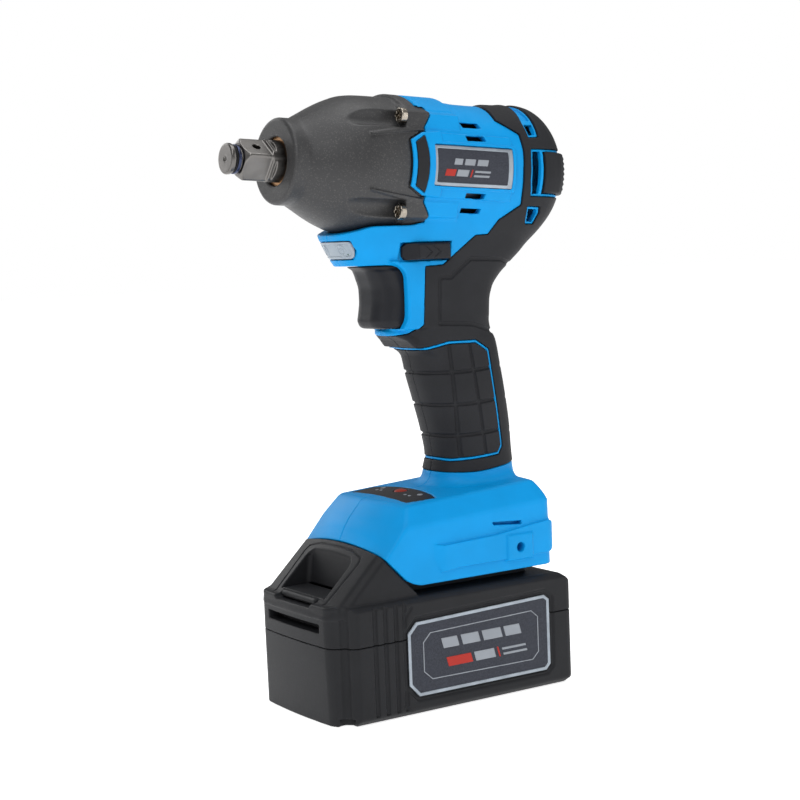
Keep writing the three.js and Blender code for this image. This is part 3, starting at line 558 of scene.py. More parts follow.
def windows(P):
    """Outlines of the three framed air windows on each side, without and with their frames."""
    upper = polygon(P.s, P.h, [(-53.9, 40), (-59.3, 40), (-59.3, 28.0), (-57.6, 14.3), (-52.2, 13.7),
                               (-51.9, 20.5), (-53.6, 28)])
    middle = polygon(P.s, P.h, [(-52.0, 9.2), (-68.0, 9.6), (-95, 9.6), (-95, -10.8), (-67, -10.8),
                                (-52.6, -11.0), (-51.4, -4), (-51.4, 4)])
    lower = polygon(P.s, P.h, [(-52.4, -14.9), (-59.2, -14.9), (-60.2, -17.5), (-59.2, -22.4),
                               (-54.2, -22.4), (-53.6, -20.5)])
    return upper, middle, lower


def soft_region(P):
    """Side outline of the overmould on barrel, neck, spine and collar. Negative inside."""
    outline = polygon(P.x, P.z, SOFT_OUTLINE)
    outline = np.maximum(outline, COLLAR_LOW(P.x) - P.z)
    loop = polygon(P.x, P.z, LOOP_OUTER)
    upper, middle, lower = windows(P)
    upper = np.where(P.h > 11.7, upper, 9)
    return np.maximum.reduce([outline, -loop, -upper, -middle, -lower])


def grip_region(P):
    return polygon(P.x, P.z, LOOP_INNER)


def soft_outside(P):
    return body(P, 1.0, detail=False)


def core(P):
    return body(P, 0.0, detail=False) + SKIN


# ---- base, over the battery
def base(P):
    ay2 = P.ay * P.ay
    side = (P.ay - 32.6) + (P.z - 52.7) * 0.022
    crease = 77.2 + 0.052 * (25.5 - P.x)
    shoulder = (P.ay - 32.0) * 0.823 + (P.z - crease) * 0.568
    top = base_top(P)
    front_high = (P.x - 33.3) * 0.733 + (P.z - 77.8) * 0.680 + 0.0062 * ay2
    front_low = (P.x - 37.1) * 0.882 + (P.z - 70.7) * 0.472 + (0.0041 + 0.00024 * (P.z - 66.7)) * ay2
    wedge = (P.x - 22.6) * 0.718 - (P.z - 52.7) * 0.696 + 1.6 * (1 - ay2 / 1024)
    rear = -51.2 - P.x
    rear_high = (-46.5 - P.x) * 0.8 + (P.z - 84.5) * 0.6 - 2.4
    solid = both(side, shoulder, 0.7)
    solid = both(solid, top, 1.0)
    front = both(front_high, front_low, 0.9)
    solid = both(solid, front, 1.3)
    solid = both(solid, rear, 5.0)
    solid = both(solid, rear_high, 2.0)
    under = both(52.9 - P.z, wedge, 4.0)
    return both(solid, under, 0.5)


HOOK = (-31.9, 62.6)     # x and z of the belt hook's screw hole
HOOK_HOLE_R = 2.0
BOSS_FACE = 34.4


def base_details(P, solid):
    band = polygon(P.x, P.z, [(15.6, 69.8), (6.1, 68.2), (-20, 69.2), (-39, 71.4), (-60, 73.4), (-60, 58.4),
                              (-48, 58.4), (0.7, 57.9), (8.6, 57.0)])
    sloped = (P.x - 11.2) * 0.25 + (P.ay - 32.4)
    rib = both(both(both(band, P.ay - 33.5, 0.35), sloped, 0.3), -52.1 - P.x, 5.0)
    solid = either(solid, rib, 0.3)
    eye = both(np.hypot(P.x + 46.4, P.z - 69.0) - 4.8, slab(P.ay, 24.5, 31.5), 1.4)
    solid = either(solid, eye, 0.8)
    out = P.ay - BOSS_FACE
    boss = both(slab(P.x, -38.4, -25.4) + out * 0.55, slab(P.z, 57.7, 68.0) + out * 0.55, 0.3)
    boss = both(both(boss, out, 0.35), 30 - P.ay)
    solid = either(solid, boss, 0.25)
    solid = without(solid, both(np.hypot(P.x - HOOK[0], P.z - HOOK[1]) - HOOK_HOLE_R, 27 - P.ay), 0.25)
    slit = both(polygon(P.x, P.z, [(-18.8, 74.5), (-19.6, 73.2), (-34.2, 71.9), (-34.2, 73.5)]), 29 - P.ay)
    return without(solid, slit, 0.15)


VENTS = [
    [(-18.9, 18.4), (-28.6, 18.6), (-29.5, 16.5), (-19.7, 16.3)],
    [(-19.0, 12.7), (-28.4, 12.8), (-29.3, 10.8), (-19.6, 10.6)],
    [(-19.4, -10.8), (-29.3, -10.8), (-29.1, -12.9), (-19.3, -12.9)],
    [(-19.6, -16.9), (-29.7, -16.9), (-29.3, -18.9), (-19.3, -18.9)],
]
LEVER_SLOT = ((-12.0, 14.5, 185.4), (12.5, 29, 193.3))


def housing_cuts(P):
    """Everything that is open inside or through the blue housing."""
    bore = both(P.rho - np.where(P.s < -12, BLUE_PROFILE(P.s) - 2.3, F32(24.6)), slab(P.s, -72, 4))
    seat = case_outside(P, 0.35)
    mouth = both(P.rho - 27, slab(P.s, -15, 4))
    slot = both(slab(P.x, -13, 60), slab(P.z, 157.5, 184.3))
    slot = both(slot, P.ay - 12.9)
    lever = box(P.x, P.ay, P.z, *LEVER_SLOT)
    lamp = box(P.x, P.ay, P.z, (30.2, -1, 187.0), (60, 11.6, 194.9), 0.5)
    rail = box(P.x, P.ay, P.z, (-45.5, -1, 40), (60, 22, 59.5))
    keeper = box(P.x, P.ay, P.z, (-45.5, -1, 56), (60, 25.5, 59.5))
    well = box(P.x, P.ay, P.z, (-47, -1, 59), (14, 24, 80))
    vents = [both(polygon(P.s, P.h, outline), 13 - P.ay) for outline in VENTS]
    return [bore, seat, mouth, slot, lever, lamp, rail, keeper, well] + vents


def nameplate_outline(P):
    return box(P.s, P.h, P.ay, (-41.6, -8.3, 20), (-2.0, 8.3, 40), 0.6)


PANEL = [(15.9, 21.9), (15.9, -21.9), (4.0, -23.6), (1.8, -17), (0.6, -8), (0.4, 0), (0.6, 8), (1.8, 17),
         (4.0, 23.6)]


def panel_outline(P):
    return polygon(P.x, P.y, [(17.4 if x > 15 else x, y) for x, y in PANEL])


def base_top(P):
    return P.z - (86.9 + 0.062 * (19.4 - P.x) - 0.002 * P.y * P.y)


def blue_housing(P, right=False):
    shell = body(P)
    # the soft parts sink into the blue core
    soft = np.minimum(soft_region(P), grip_region(P))
    shell = without(shell, both(soft - 0.22, -core(P) - 0.2), 0.25)
    low = base(P)
    shell = either(shell, low, 4.0)
    shell = base_details(P, shell)
    for space in housing_cuts(P):
        shell = without(shell, space, 0.3)
    upper, middle, lower = windows(P)
    # framed windows: a ledge a little below the overmould, and the hole inside it
    frame_deep = both(upper + 1.15, 28.0 - P.rho)
    shell = without(shell, both(frame_deep, -slab(P.h, 19.6, 21.6)), 0.25)
    hole = both(both(upper + 1.15, P.h - 19.4), 20 - P.rho)
    shell = without(shell, hole, 0.25)
    shell = without(shell, both(lower + 1.1, 20 - P.rho), 0.25)
    inner = both(middle + 1.2, slab(P.s, -56.9, -40))
    shell = without(shell, both(inner, 20 - P.rho), 0.25)
    pocket = both(middle + 1.2, P.s + 58.3)
    shell = without(shell, both(pocket, -bumper_outside(P) - 3.2), 0.25)
    shell = without(shell, both(nameplate_outline(P) - 0.25, 28.75 - P.rho), 0.2)
    shell = without(shell, both(both(panel_outline(P) - 0.25, -base_top(P) - 1.3), P.z - 95), 0.2)
    shell = without(shell, both(np.hypot(P.x - BUTTON[0], P.y - BUTTON[1]) - 3.6, slab(P.z, 83, 95)))
    pad = flange_inset(P)
    shell = without(shell, both(pad - 0.2, 29.9 - P.rho), 0.2)
    if right:
        shell = without(shell, housing_screw_holes(P), 0.3)
    return both(shell, 0.03 - P.y, 0.25)


BUTTON = [(low + high) / (2 * MM) for low, high in zip(*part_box("mode_button"))][:2]


def flange_inset(P):
    return polygon(P.s, P.h, [(2.6, 11.6), (7.4, 8.7), (7.1, 0), (7.2, -9.0), (2.4, -11.5), (1.7, -5),
                              (1.5, 0), (1.7, 5)])


HOUSING_SCREWS = [(-2.5, 176), (-27, 165), (-29, 113)]     # x and z; driven from the right side


def housing_screw_holes(P):
    return several([both(np.hypot(P.x - x, P.z - z) - 3.6, 12.2 - P.y) for x, z in HOUSING_SCREWS])


def bumper_outside(P):
    bulge = np.clip((-60 - P.s) / 8, 0, 1)
    return both(turned(P, BLUE_PROFILE, 0.7) - bulge * 1.5, -78.4 - P.s, 3.0)


# ---- soft overmould and grip
EMBOSS = [(-60, 180.5), (-44.2, 183.0), (-39.3, 184.6), (-22.6, 185.4), (-12.6, 178.0), (-6.9, 178.2),
          (-6.2, 158.9), (-23.9, 157.6), (-30.8, 155.4), (-60, 148)]
SPINE_NOTCHES = [153.7, 138.6, 124.6, 109.9]
GRIP_CROSS = [137.7, 123.7, 110.2]


def overmould(P):
    outside = soft_outside(P)
    line = groove(P.x, P.z, EMBOSS)
    region = soft_region(P)
    piece = both(both(outside, region, 0.32), -core(P), 0.1)
    piece = without(piece, np.hypot(np.maximum(line - 0.35, 0), outside) - 0.55, 0.15)
    for z in SPINE_NOTCHES:
        notch = np.hypot(P.z - z, np.maximum(P.x - REAR(P.z) - 0.4, 0) * 0.34) - 1.0
        piece = without(piece, notch, 0.3)
    piece = without(piece, case_outside(P, 0.3))
    return both(piece, 0.03 - P.y, 0.25)


def flange_insert(P):
    skin = both(P.rho - 30.75, flange_inset(P), 0.25)
    return both(skin, 30.0 - P.rho)


def grip_panel(P):
    outside = soft_outside(P) - 0.15
    region = grip_region(P)
    piece = both(both(outside, region, 0.35), -core(P), 0.1)
    lines = []
    for z in GRIP_CROSS:
        bend = 0.0022 * np.clip(-12 - P.x, 0, 60) ** 2
        lines.append(np.abs(P.z - z - bend) - 0.05)
    first = np.abs(P.x + 11.3 + (148.5 - P.z) * 0.127)
    second = np.abs(P.x + 21.4 + (148.0 - P.z) * 0.146)
    lines += [first, second]
    nearest = np.minimum.reduce(lines)
    cut = np.hypot(np.maximum(nearest - 0.1, 0), np.maximum(-(outside + 0.15), 0)) - 0.62
    piece = without(piece, cut, 0.25)
    return both(piece, 0.03 - P.y, 0.18)


def rear_bumper(P):
    outside = bumper_outside(P)
    band = slab(P.h, -9.3, 8.2)
    ridge = (np.cos((P.h + 0.5) * (2 * math.pi / 2.2)) * 0.38).astype(F32) * np.clip((-70 - P.s) / 6, 0, 1)
    outside = outside - ridge
    piece = both(both(outside, band, 0.9), P.s + 59.2, 0.6)
    return both(piece, -(bumper_outside(P) + 2.6), 0.2)


# ---- controls
TRIGGER_FRONT = Curve([(154, 17.2), (158.5, 19.6), (161, 20.4), (164, 19.9), (169.3, 19.2), (173.5, 19.3),
                       (177.9, 20.5), (181.7, 22.2), (184.5, 27)])


def trigger(P):
    front = (P.x - TRIGGER_FRONT(P.z)) * TRIGGER_FRONT.steepness(P.z)
    shell = both(front, P.ay - 12.3, 9.0)
    valley = np.hypot(P.x - TRIGGER_FRONT(P.z) + 4.6, P.ay - 13.3) - 2.9
    shell = without(shell, valley, 2.2)
    floor_z = 157.6 + np.maximum(14 - P.x, 0) * 0.05
    shell = both(both(shell, floor_z - P.z, 1.6), P.z - 183.9, 0.5)
    return both(shell, -0.6 - P.x, 0.6)


LEVER_REACH = 20.2       # the lever's ends, from the middle of the tool


def lever(P):
    outline = polygon(P.x, P.z, [(-11.4, 185.9), (-11.0, 192.8), (9.2, 192.8), (10.8, 191.4), (10.8, 187.4),
                                 (9.6, 186.0)])
    bar = both(outline, P.ay - LEVER_REACH, 1.2)
    ramp = (P.ay - LEVER_REACH) * 0.78 + (P.x - 5.2) * 0.62
    bar = both(bar, ramp, 0.3)
    for tip in (-1.6, -5.8):
        arrow = groove(P.x, P.z, [(tip + 3.4, 191.9), (tip, 189.3), (tip + 3.4, 186.7)])
        bar = without(bar, np.hypot(arrow, P.ay - 20.25) - 0.36)
    core_hole = box(P.x, P.ay, P.z, (-20, -1, 180), (-3, 12, 200))
    nose_hole = box(P.x, P.ay, P.z, (5, -1, 180), (20, 12, 200))
    return without(without(bar, core_hole), nose_hole)


def lamp_lens(P):
    outside = both(body(P) + 0.05, box(P.x, P.ay, P.z, (30.6, -1, 187.4), (60, 11.1, 194.5), 0.9), 0.25)
    shell = without(outside, body(P) + 2.0)
    skin = body(P)
    sunk = both(-(skin + 0.5), box(P.x, P.ay, P.z, (31.6, -1, 188.4), (60, 10.1, 193.5), 0.9))
    shell = without(shell, sunk, 0.2)
    reach = np.hypot(P.ay - 6.0, P.z - 190.9)
    bead = both(both(np.abs(reach - 2.0) - 0.45, skin + 0.1, 0.3), -(skin + 1.2))
    pearl = both(both(reach - 1.0, skin + 0.1, 0.5), -(skin + 1.2))
    return either(shell, np.minimum(bead, pearl), 0.2)


def control_panel(P):
    sheet = slab(base_top(P), -1.0, -0.15)
    plate = both(panel_outline(P), sheet, 0.2)
    return without(plate, np.hypot(P.x - BUTTON[0], P.y - BUTTON[1]) - 3.3, 0.15)


def nameplate(P):
    """A curved plate let into the barrel's side."""
    edge = box(P.s, P.h, P.ay, (-41.5, -8.2, 20), (-2.1, 8.2, 40), 0.6)
    return both(edge, np.abs(P.rho - 29.1) - 0.4, 0.15)


def plate_frame(P):
    outer = both(slab(P.s, -41.8, -1.8), slab(P.h, -8.45, 8.2), 0.6)
    inner = both(slab(P.s, -39.4, -3.4), slab(P.h, -6.9, 6.8), 0.5)
    return both(both(without(outer, inner, 0.2), np.abs(P.rho - 29.35) - 0.4, 0.25), 20 - P.ay)


def leaning(a, b, low, high, lean=0.28):
    """A bar whose ends lean, in two coordinates."""
    return both(slab(a + b * lean, low[0], high[0]), slab(b, low[1], high[1]), 0.15)


def plate_marks(P):
    """Plain bars on the nameplate; first the light ones, then the red ones."""
    bars = [leaning(P.s, P.h, low, high) for low, high in (
        ((-15.2, 0.4), (-11.2, 3.0)), ((-21.6, 0.4), (-16.4, 3.0)), ((-28.2, 0.4), (-22.8, 3.0)),
        ((-19.6, -4.3), (-13.8, -1.5)), ((-30.6, -2.5), (-22.6, -1.6)), ((-30.6, -4.3), (-22.6, -3.4)))]
    red = [leaning(P.s, P.h, low, high) for low, high in (((-13.0, -4.3), (-8.0, -1.5)), ((-21.5, -4.5),
                                                          (-20.8, -1.3)))]
    skin = both(np.abs(P.rho - 29.5) - 0.14, 20 - P.ay)
    return [both(several(group), skin, 0.05) for group in (bars, red)]


def case_screw(P):
    """A Torx screw in each of the four bosses; only its head and neck are seen."""
    hy, hh = P.ay - SCREW_Y, np.abs(P.h) - SCREW_H
    reach = np.hypot(hy, hh)
    turn = np.arctan2(hh, hy)
    head = both(reach - 3.15, slab(P.s, SCREW_FACE - 0.3, 12.5), 0.5)
    star = both(reach - 2.0 - 0.4 * np.cos(TORX_POINTS * turn).astype(F32), 10.6 - P.s)
    head = without(head, star, 0.12)
    return either(head, both(reach - 1.25, slab(P.s, 8.6, 11)), 0.1)


def mode_button(P):
    dome = np.sqrt((P.x - F32(BUTTON[0])) ** 2 + (P.y - F32(BUTTON[1])) ** 2 + (P.z - 82.7) ** 2) - 5.6
    stem = np.hypot(P.x - F32(BUTTON[0]), P.y - F32(BUTTON[1])) - 3.05
    return both(both(stem, dome, 0.4), 85.2 - P.z, 0.2)


def panel_dots(P):
    """Small raised lamp dots beside the mode button."""
    dots = [np.hypot(P.x - x, P.y - y) - r for x, y, r in (
        (9.6, 12.5, 0.75), (9.6, 9.3, 0.75), (9.6, -9.3, 0.75), (9.6, -12.5, 0.75),
        (5.4, 14.2, 1.2), (5.4, -14.2, 1.2))]
    return both(several(dots), slab(base_top(P), -0.8, 0.02), 0.1)


def housing_screw(P):
    """The housing's own screws, whose heads show on the right side."""
    pieces = []
    for x, z in HOUSING_SCREWS:
        reach = np.hypot(P.x - x, P.z - z)
        head = both(reach - 2.9, slab(P.y, -12.0, -9.6), 0.4)
        turn = np.arctan2(P.z - z, P.x - x)
        star = both(reach - 1.4 - 0.25 * np.cos(TORX_POINTS * turn).astype(F32), P.y + 11.0)
        pieces.append(without(head, star, 0.1))
    return np.minimum.reduce(pieces)


# ---------------------------------------------------------------- shapes of the battery
HALF_PACK = 34.9         # half the battery's width


def pack_plan(P):
    """Plan outline of the battery: flat sides, bowed front, cut rear corners."""
    bow = 62.0 - 0.0016 * P.y * P.y
    front = P.x - bow + (32 - np.minimum(P.z, 32)) * 0.02
    side = P.ay - HALF_PACK
    rear = -57.7 - P.x
    corner = side * 0.78 + (-P.x - 56.4) * 0.62
    nose = (P.ay - 34.95) * 0.697 + (P.x - 52.3) * 0.717
    plan = both(both(side, rear, 0.5), corner, 0.8)
    plan = both(plan, nose, 1.2)
    return both(plan, front, 1.6)


def pack_outside(P):
    plan = pack_plan(P)
    # shallow upright channel in each front corner, and the ribbed grip behind it
    channel = np.hypot(P.x - 57.0, P.ay - 32.2) - 2.5
    notch = both(np.hypot(P.x - 56.0, P.ay - 31.3) - 3.4, P.z - 3.2)
    plan = without(plan, np.minimum(channel, notch), 0.45)
    for x, w in ((43.3, 0.55), (38.3, 0.55), (33.2, 0.45), (29.0, 0.45)):
        line = np.hypot(np.maximum(np.abs(P.x - x) - w * 0.4, 0), P.ay - 34.95) - 0.8
        plan = without(plan, np.maximum(line, slab(P.z, 2.7, 47)), 0.25)
    bottom = both(-P.z, -(P.z - (P.ay - HALF_PACK) - 2.2) * 0.71, 0.4)
    rear_low = (-P.x - 57.7) * 0.66 + (2.9 - P.z) * 0.75
    rear_high = (-P.x - 57.7) * 0.66 + (P.z - 44.7) * 0.75
    body_ = both(both(plan, bottom, 0.5), rear_low, 0.5)
    shoulder = (P.ay - HALF_PACK) * 0.62 + (P.z - 46.7) * 0.785
    body_ = both(both(body_, shoulder, 0.4), rear_high, 0.6)
    return both(body_, P.z - 48.6, 0.8)


def pack_hollow(P):
    return box(P.x, P.ay, P.z, (-48, -1, 2.2), (48, 32.2, 46.4), 1.0)


def label_recess(P):
    outline = polygon(P.x, P.z, [(27.9, 12.4), (27.9, 34.6), (23.4, 39.4), (-43.0, 41.2), (-46.2, 38.6),
                                 (-46.2, 9.4), (-43.6, 7.0), (23.0, 7.2)])
    well = both(outline - 0.3, 33.9 - P.ay)
    flare = both(outline - (P.ay - 33.9) * 0.9 - 0.9, 34.2 - P.ay)
    return either(well, flare)


def label_plate(P):
    return polygon(P.x, P.z, [(27.6, 12.6), (27.6, 34.3), (23.2, 38.7), (-43.2, 40.4), (-45.8, 38.2),
                              (-45.8, 9.8), (-43.4, 7.4), (22.8, 7.5)])


def label_sheet(P):
    return both(both(label_plate(P) + 0.15, np.abs(P.ay - 34.15) - 0.3, 0.1), 30 - P.ay)


def label_frame(P):
    outline = label_plate(P)
    return both(both(outline, -(outline + 1.5), 0.15), np.abs(P.ay - 34.35) - 0.3, 0.2)


def label_marks(P):
    """A capsule outline and plain bars on the battery's label."""
    capsule = polygon(P.x, P.z, [(20.0, 17.4), (20.0, 29.6), (16.4, 33.2), (-36.0, 34.4), (-39.4, 31.4),
                                 (-39.4, 16.2), (-36.2, 13.2), (16.0, 13.8)])
    line = np.abs(capsule) - 0.22
    bars = [leaning(-P.x, P.z - 24, low, high) for low, high in ( ((-9.5, 1.6), (-1.5, 6.0)), ((0.4, 1.6),
                                                                   (9.4, 6.0)), ((11.2, 1.6), (21.0, 6.0)),
                                                                   ((22.6, 1.6), (31.0, 6.0)), ((4.6, -6.4),
                                                                   (15.0, -2.4)), ((19.0, -4.0),
                                                                   (31.6, -3.0)), ((19.0, -6.3),
                                                                   (31.6, -5.3)))]
    red = [leaning(-P.x, P.z - 24, low, high) for low, high in (((-9.5, -6.4), (3.0, -2.4)), ((16.6, -6.6),
                                                                (17.4, -2.2)))]
    skin = both(np.abs(P.ay - 34.45) - 0.13, 30 - P.ay)
    return [both(several(group), skin, 0.05) for group in ([line] + bars, red)]


PACK_SPLIT = 32.0


def battery_marks(P):
    marks = [groove(P.x, P.z, [(25.6, 45.0), (29.0, 40.9)]), groove(P.x, P.z, [(29.9, 5.3), (26.4, 1.7)])]
    line = np.minimum(*marks)
    return np.hypot(np.maximum(line - 0.3, 0), P.ay - 35.0) - 0.55


def battery_lower(P):
    shell = both(pack_outside(P), P.z - (PACK_SPLIT - 0.12), 0.3)
    shell = without(without(shell, pack_hollow(P)), label_recess(P), 0.35)
    return without(shell, battery_marks(P), 0.1)


def slope_place(P):
    """Distance down the battery's crowned slope and out of it."""
    dx, dz = P.x - 36.2, P.z - 67.3
    return dx * 0.723 - dz * 0.691, dx * 0.691 + dz * 0.723 - 2.4 + 0.0025 * P.ay ** 2


def wedge_block(P):
    """The sloping front of the battery, which meets the tool's base."""
    _, out = slope_place(P)
    side = (P.ay - 31.4) + (P.z - 48) * 0.02
    back = 0.35 - ((P.x - 22.6) * 0.718 - (P.z - 52.7) * 0.696 + 1.6 * (1 - P.ay ** 2 / 1024))
    bevel = side * 0.6 + out * 0.8 + 1.5
    solid = both(both(side, out), bevel, 0.7)
    solid = both(solid, pack_plan(P), 1.0)
    solid = both(solid, back, 0.5)
    return both(both(solid, 44 - P.z), 20 - P.x)


SCOOP = [(40.6, 70), (41.0, 64.0), (42.7, 50.8), (37.5, 50.8), (37.5, 44.0), (57.4, 44.0), (57.4, 46.9),
         (70, 46.9), (70, 70)]
LEDGE_Z = 50.4


def battery_upper(P):
    lid = both(pack_outside(P), PACK_SPLIT + 0.12 - P.z, 0.3)
    shell = without(lid, pack_hollow(P))
    shell = either(shell, wedge_block(P), 1.0)
    down, out = slope_place(P)
    # outlined panel, the scoop for the thumb, and the dark slot under it
    outline = polygon(down, P.ay, [(1.6, -1), (1.6, 12), (3.8, 20.4), (6.4, 21.4), (26.0, 20.2), (40, 19.2),
                                   (40, -1)])
    line = np.hypot(np.maximum(np.abs(outline) - 0.12, 0), out) - 0.36
    shell = without(shell, np.maximum(np.maximum(line, 34 - P.x), 47.4 - P.z), 0.1)
    width = np.where(P.x > 56.2, 14.3, 17.3 - np.maximum(P.z - 62, 0) * 0.5)
    scoop = both(polygon(P.x, P.z, SCOOP), P.ay - width, 2.0)
    shell = without(shell, scoop, 0.5)
    slot = box(P.x, P.ay, P.z, (56.0, -1, 37.5), (80, 20.4, 41.2), 0.3)
    shell = without(shell, slot, 0.25)
    rail = box(P.x, P.ay, P.z, (-44, -1, 46), (24.0, 21, 58), 0.4)
    wing = box(P.x, P.ay, P.z, (-44, -1, 56.5), (24.0, 24, 58), 0.4)
    rail = either(rail, wing, 0.3)
    rail = without(rail, box(P.x, P.ay, P.z, (-46, 14.2, 50), (-14, 16.0, 60)))
    rail = without(rail, box(P.x, P.ay, P.z, (-46, 4.2, 50), (-14, 6.0, 60)))
    shell = either(shell, rail, 0.4)
    shell = without(shell, label_recess(P), 0.35)
    return without(shell, battery_marks(P), 0.1)


def release_coil(P):
    """A small coil spring lying under the release plate."""
    ring_ = np.hypot(P.y, P.z - 45.6)
    phase = (P.x - 44) / 1.3 - np.arctan2(P.z - 45.6, P.y) / F32(2 * math.pi)
    coil = np.hypot(ring_ - 1.1, (phase - np.round(phase)) * 1.3) - 0.24
    return both(coil * 0.8, slab(P.x, 44, 52))


def release_button(P):
    plate = box(P.x, P.ay, P.z, (43.4, -1, 47.3), (56.4, 16.9, LEDGE_Z), 0.5)
    bar = box(P.x, P.ay, P.z, (55.2, -1, 47.3), (58.7, 13.8, 50.2), 1.2)
    bar = without(bar, both(np.abs(P.x - 56.2) - 0.25, 49.6 - P.z))
    return either(plate, bar, 0.25)


# ---------------------------------------------------------------- the square drive
DRIVE_FLAT, DRIVE_CORNER = 12.7, 17.0
DRIVE_TURN = math.radians(9.14)


def anvil(P):
    turn = DRIVE_TURN - math.pi / 4
    u = P.y * math.cos(turn) + P.h * math.sin(turn)
    v = P.h * math.cos(turn) - P.y * math.sin(turn)
    flat = DRIVE_FLAT / 2
    corner = P.rho - DRIVE_CORNER / 2
    front = (P.rho - 6.2) * 0.62 + (P.s - 73.9) * 0.785
    square = both(both(np.abs(u) - flat, np.abs(v) - flat, 0.25), corner, 0.35)
    square = both(both(square, front, 0.25), slab(P.s, 52, 73.7), 0.2)
    # relief faces where the square runs into the round collar
    collar = both(corner, slab(P.s, 50, 61.8), 0.4)
    scallop = both(np.abs(np.maximum(np.abs(u), np.abs(v)) - 10.2) - 2.9, slab(P.s, 60.2, 64))
    collar = without(collar, scallop, 0.3)
    shape = either(square, collar, 0.6)
    neck = both(P.rho - 4.95, slab(P.s, 60, 78))
    pilot = both(P.rho - 6.25, slab(P.s, 76.9, 79.2), 0.75)
    shape = either(either(shape, neck, 0.2), pilot, 0.15)
    rear = several([both(P.rho - 7.5, slab(P.s, 36.6, 51)), both(P.rho - 13, slab(P.s, 38.7, 40.4)),
                    both(P.rho - 8.3, slab(P.s, 38, 56.6))])
    shape = either(shape, rear, 0.1)
    ear = box(P.s, np.abs(P.y), np.abs(P.h), (32.6, -1, 9.2), (39, 5, 20), 0.4)
    shape = either(shape, ear, 0.2)
    shape = without(shape, np.hypot(P.s - 67, u) - 1.65, 0.2)
    centre = P.rho - 0.6 - np.maximum(P.s - 78.7, 0) * 1.2
    return without(shape, both(centre, 77.6 - P.s), 0.1)


def ring(P, middle, half, inner, outer):
    return both(both(P.rho - outer, inner - P.rho, 0.2), np.abs(P.s - middle) - half, 0.3)


# ---------------------------------------------------------------- materials
class Finish:
    """A procedural material: colour, roughness and relief from noise at the object's own scale."""

    def __init__(self, name, colour, roughness, metallic=0.0):
        self.material = bpy.data.materials.new(name)
        self.material.use_nodes = True
        self.tree = self.material.node_tree
        self.shader = self.tree.nodes["Principled BSDF"]
        self.shader.inputs["Metallic"].default_value = metallic
        self.shader.inputs["Base Color"].default_value = (*colour, 1)
        self.shader.inputs["Roughness"].default_value = roughness
        self.shader.inputs["Specular IOR Level"].default_value = 0.5 if metallic else 0.14
        self.colour = colour
        self.roughness = roughness
        self.place = self.node("ShaderNodeTexCoord").outputs["Object"]
        self.bumps = None

    def node(self, kind, **settings):
        node = self.tree.nodes.new(kind)
        for key, value in settings.items():
            setattr(node, key, value)
        return node

    def link(self, a, b):
        self.tree.links.new(a, b)

    def noise(self, scale, detail=2.0, rough=0.5, stretch=(1, 1, 1)):
        node = self.node("ShaderNodeTexNoise")
        node.inputs["Scale"].default_value = scale
        node.inputs["Detail"].default_value = detail
        node.inputs["Roughness"].default_value = rough
        mapping = self.node("ShaderNodeMapping")
        mapping.inputs["Scale"].default_value = stretch
        self.link(self.place, mapping.inputs["Vector"])
        self.link(mapping.outputs["Vector"], node.inputs["Vector"])
        return node.outputs["Fac"]

    def ramp(self, value, low, high, colour_low, colour_high):
        node = self.node("ShaderNodeValToRGB")
        node.color_ramp.elements[0].position = low
        node.color_ramp.elements[1].position = high
        node.color_ramp.elements[0].color = (*colour_low, 1)
        node.color_ramp.elements[1].color = (*colour_high, 1)
        self.link(value, node.inputs["Fac"])
        return node.outputs["Color"]

    def span(self, value, low, high):
        node = self.node("ShaderNodeMapRange")
        node.inputs["To Min"].default_value = low
        node.inputs["To Max"].default_value = high
        self.link(value, node.inputs["Value"])
        return node.outputs["Result"]

    def tint(self, value, darker, lighter, low=0.35, high=0.65):
        dark = tuple(c * darker for c in self.colour)
        light = tuple(min(c * lighter, 1) for c in self.colour)
        self.link(self.ramp(value, low, high, dark, light), self.shader.inputs["Base Color"])
        return self

    def gloss(self, value, low, high):
        self.link(self.span(value, low, high), self.shader.inputs["Roughness"])
        return self

    def relief(self, value, height, strength=1.0):
        bump = self.node("ShaderNodeBump")
        bump.inputs["Distance"].default_value = height
        bump.inputs["Strength"].default_value = strength
        self.link(value, bump.inputs["Height"])
        if self.bumps is not None:
            self.link(self.bumps, bump.inputs["Normal"])
        self.bumps = bump.outputs["Normal"]
        self.link(self.bumps, self.shader.inputs["Normal"])
        return self


def moulded(name, colour, roughness, grain, depth, tone=0.06):
    """Injection-moulded plastic with a fine spark-eroded grain."""
    f = Finish(name, colour, roughness)
    fine = f.noise(grain, 3.0, 0.6)
    f.tint(f.noise(55, 3.0), 1 - tone, 1 + tone)
    f.gloss(f.noise(grain * 0.45, 2.0), roughness - 0.06, roughness + 0.07)
    f.relief(fine, depth, 0.55)
    return f


BLUE = moulded("blue_moulding", (0.0004, 0.270, 0.64), 0.44, 3200, 0.00012, 0.04)
SOFT = moulded("soft_overmould", (0.0175, 0.018, 0.0205), 0.56, 2600, 0.00010, 0.10)
HARD = moulded("hard_black", (0.0165, 0.017, 0.020), 0.42, 2800, 0.00008, 0.08)
PACK = moulded("battery_black", (0.0145, 0.015, 0.0170), 0.46, 2300, 0.00014, 0.10)


def case_finish():
    f = Finish("case_alloy", (0.034, 0.034, 0.036), 0.5, 0.3)
    fleck = f.node("ShaderNodeTexVoronoi")
    fleck.inputs["Scale"].default_value = 2600
    f.link(f.place, fleck.inputs["Vector"])
    tone = f.node("ShaderNodeSeparateColor")
    f.link(fleck.outputs["Color"], tone.inputs["Color"])
    spark = f.ramp(tone.outputs["Red"], 0.80, 0.99, (0.034, 0.034, 0.0355), (0.062, 0.061, 0.060))
    f.link(spark, f.shader.inputs["Base Color"])
    f.gloss(f.noise(600, 3.0), 0.42, 0.58)
    f.relief(f.noise(1900, 3.0, 0.6), 0.00010, 0.5)
    return f


CASE = case_finish()


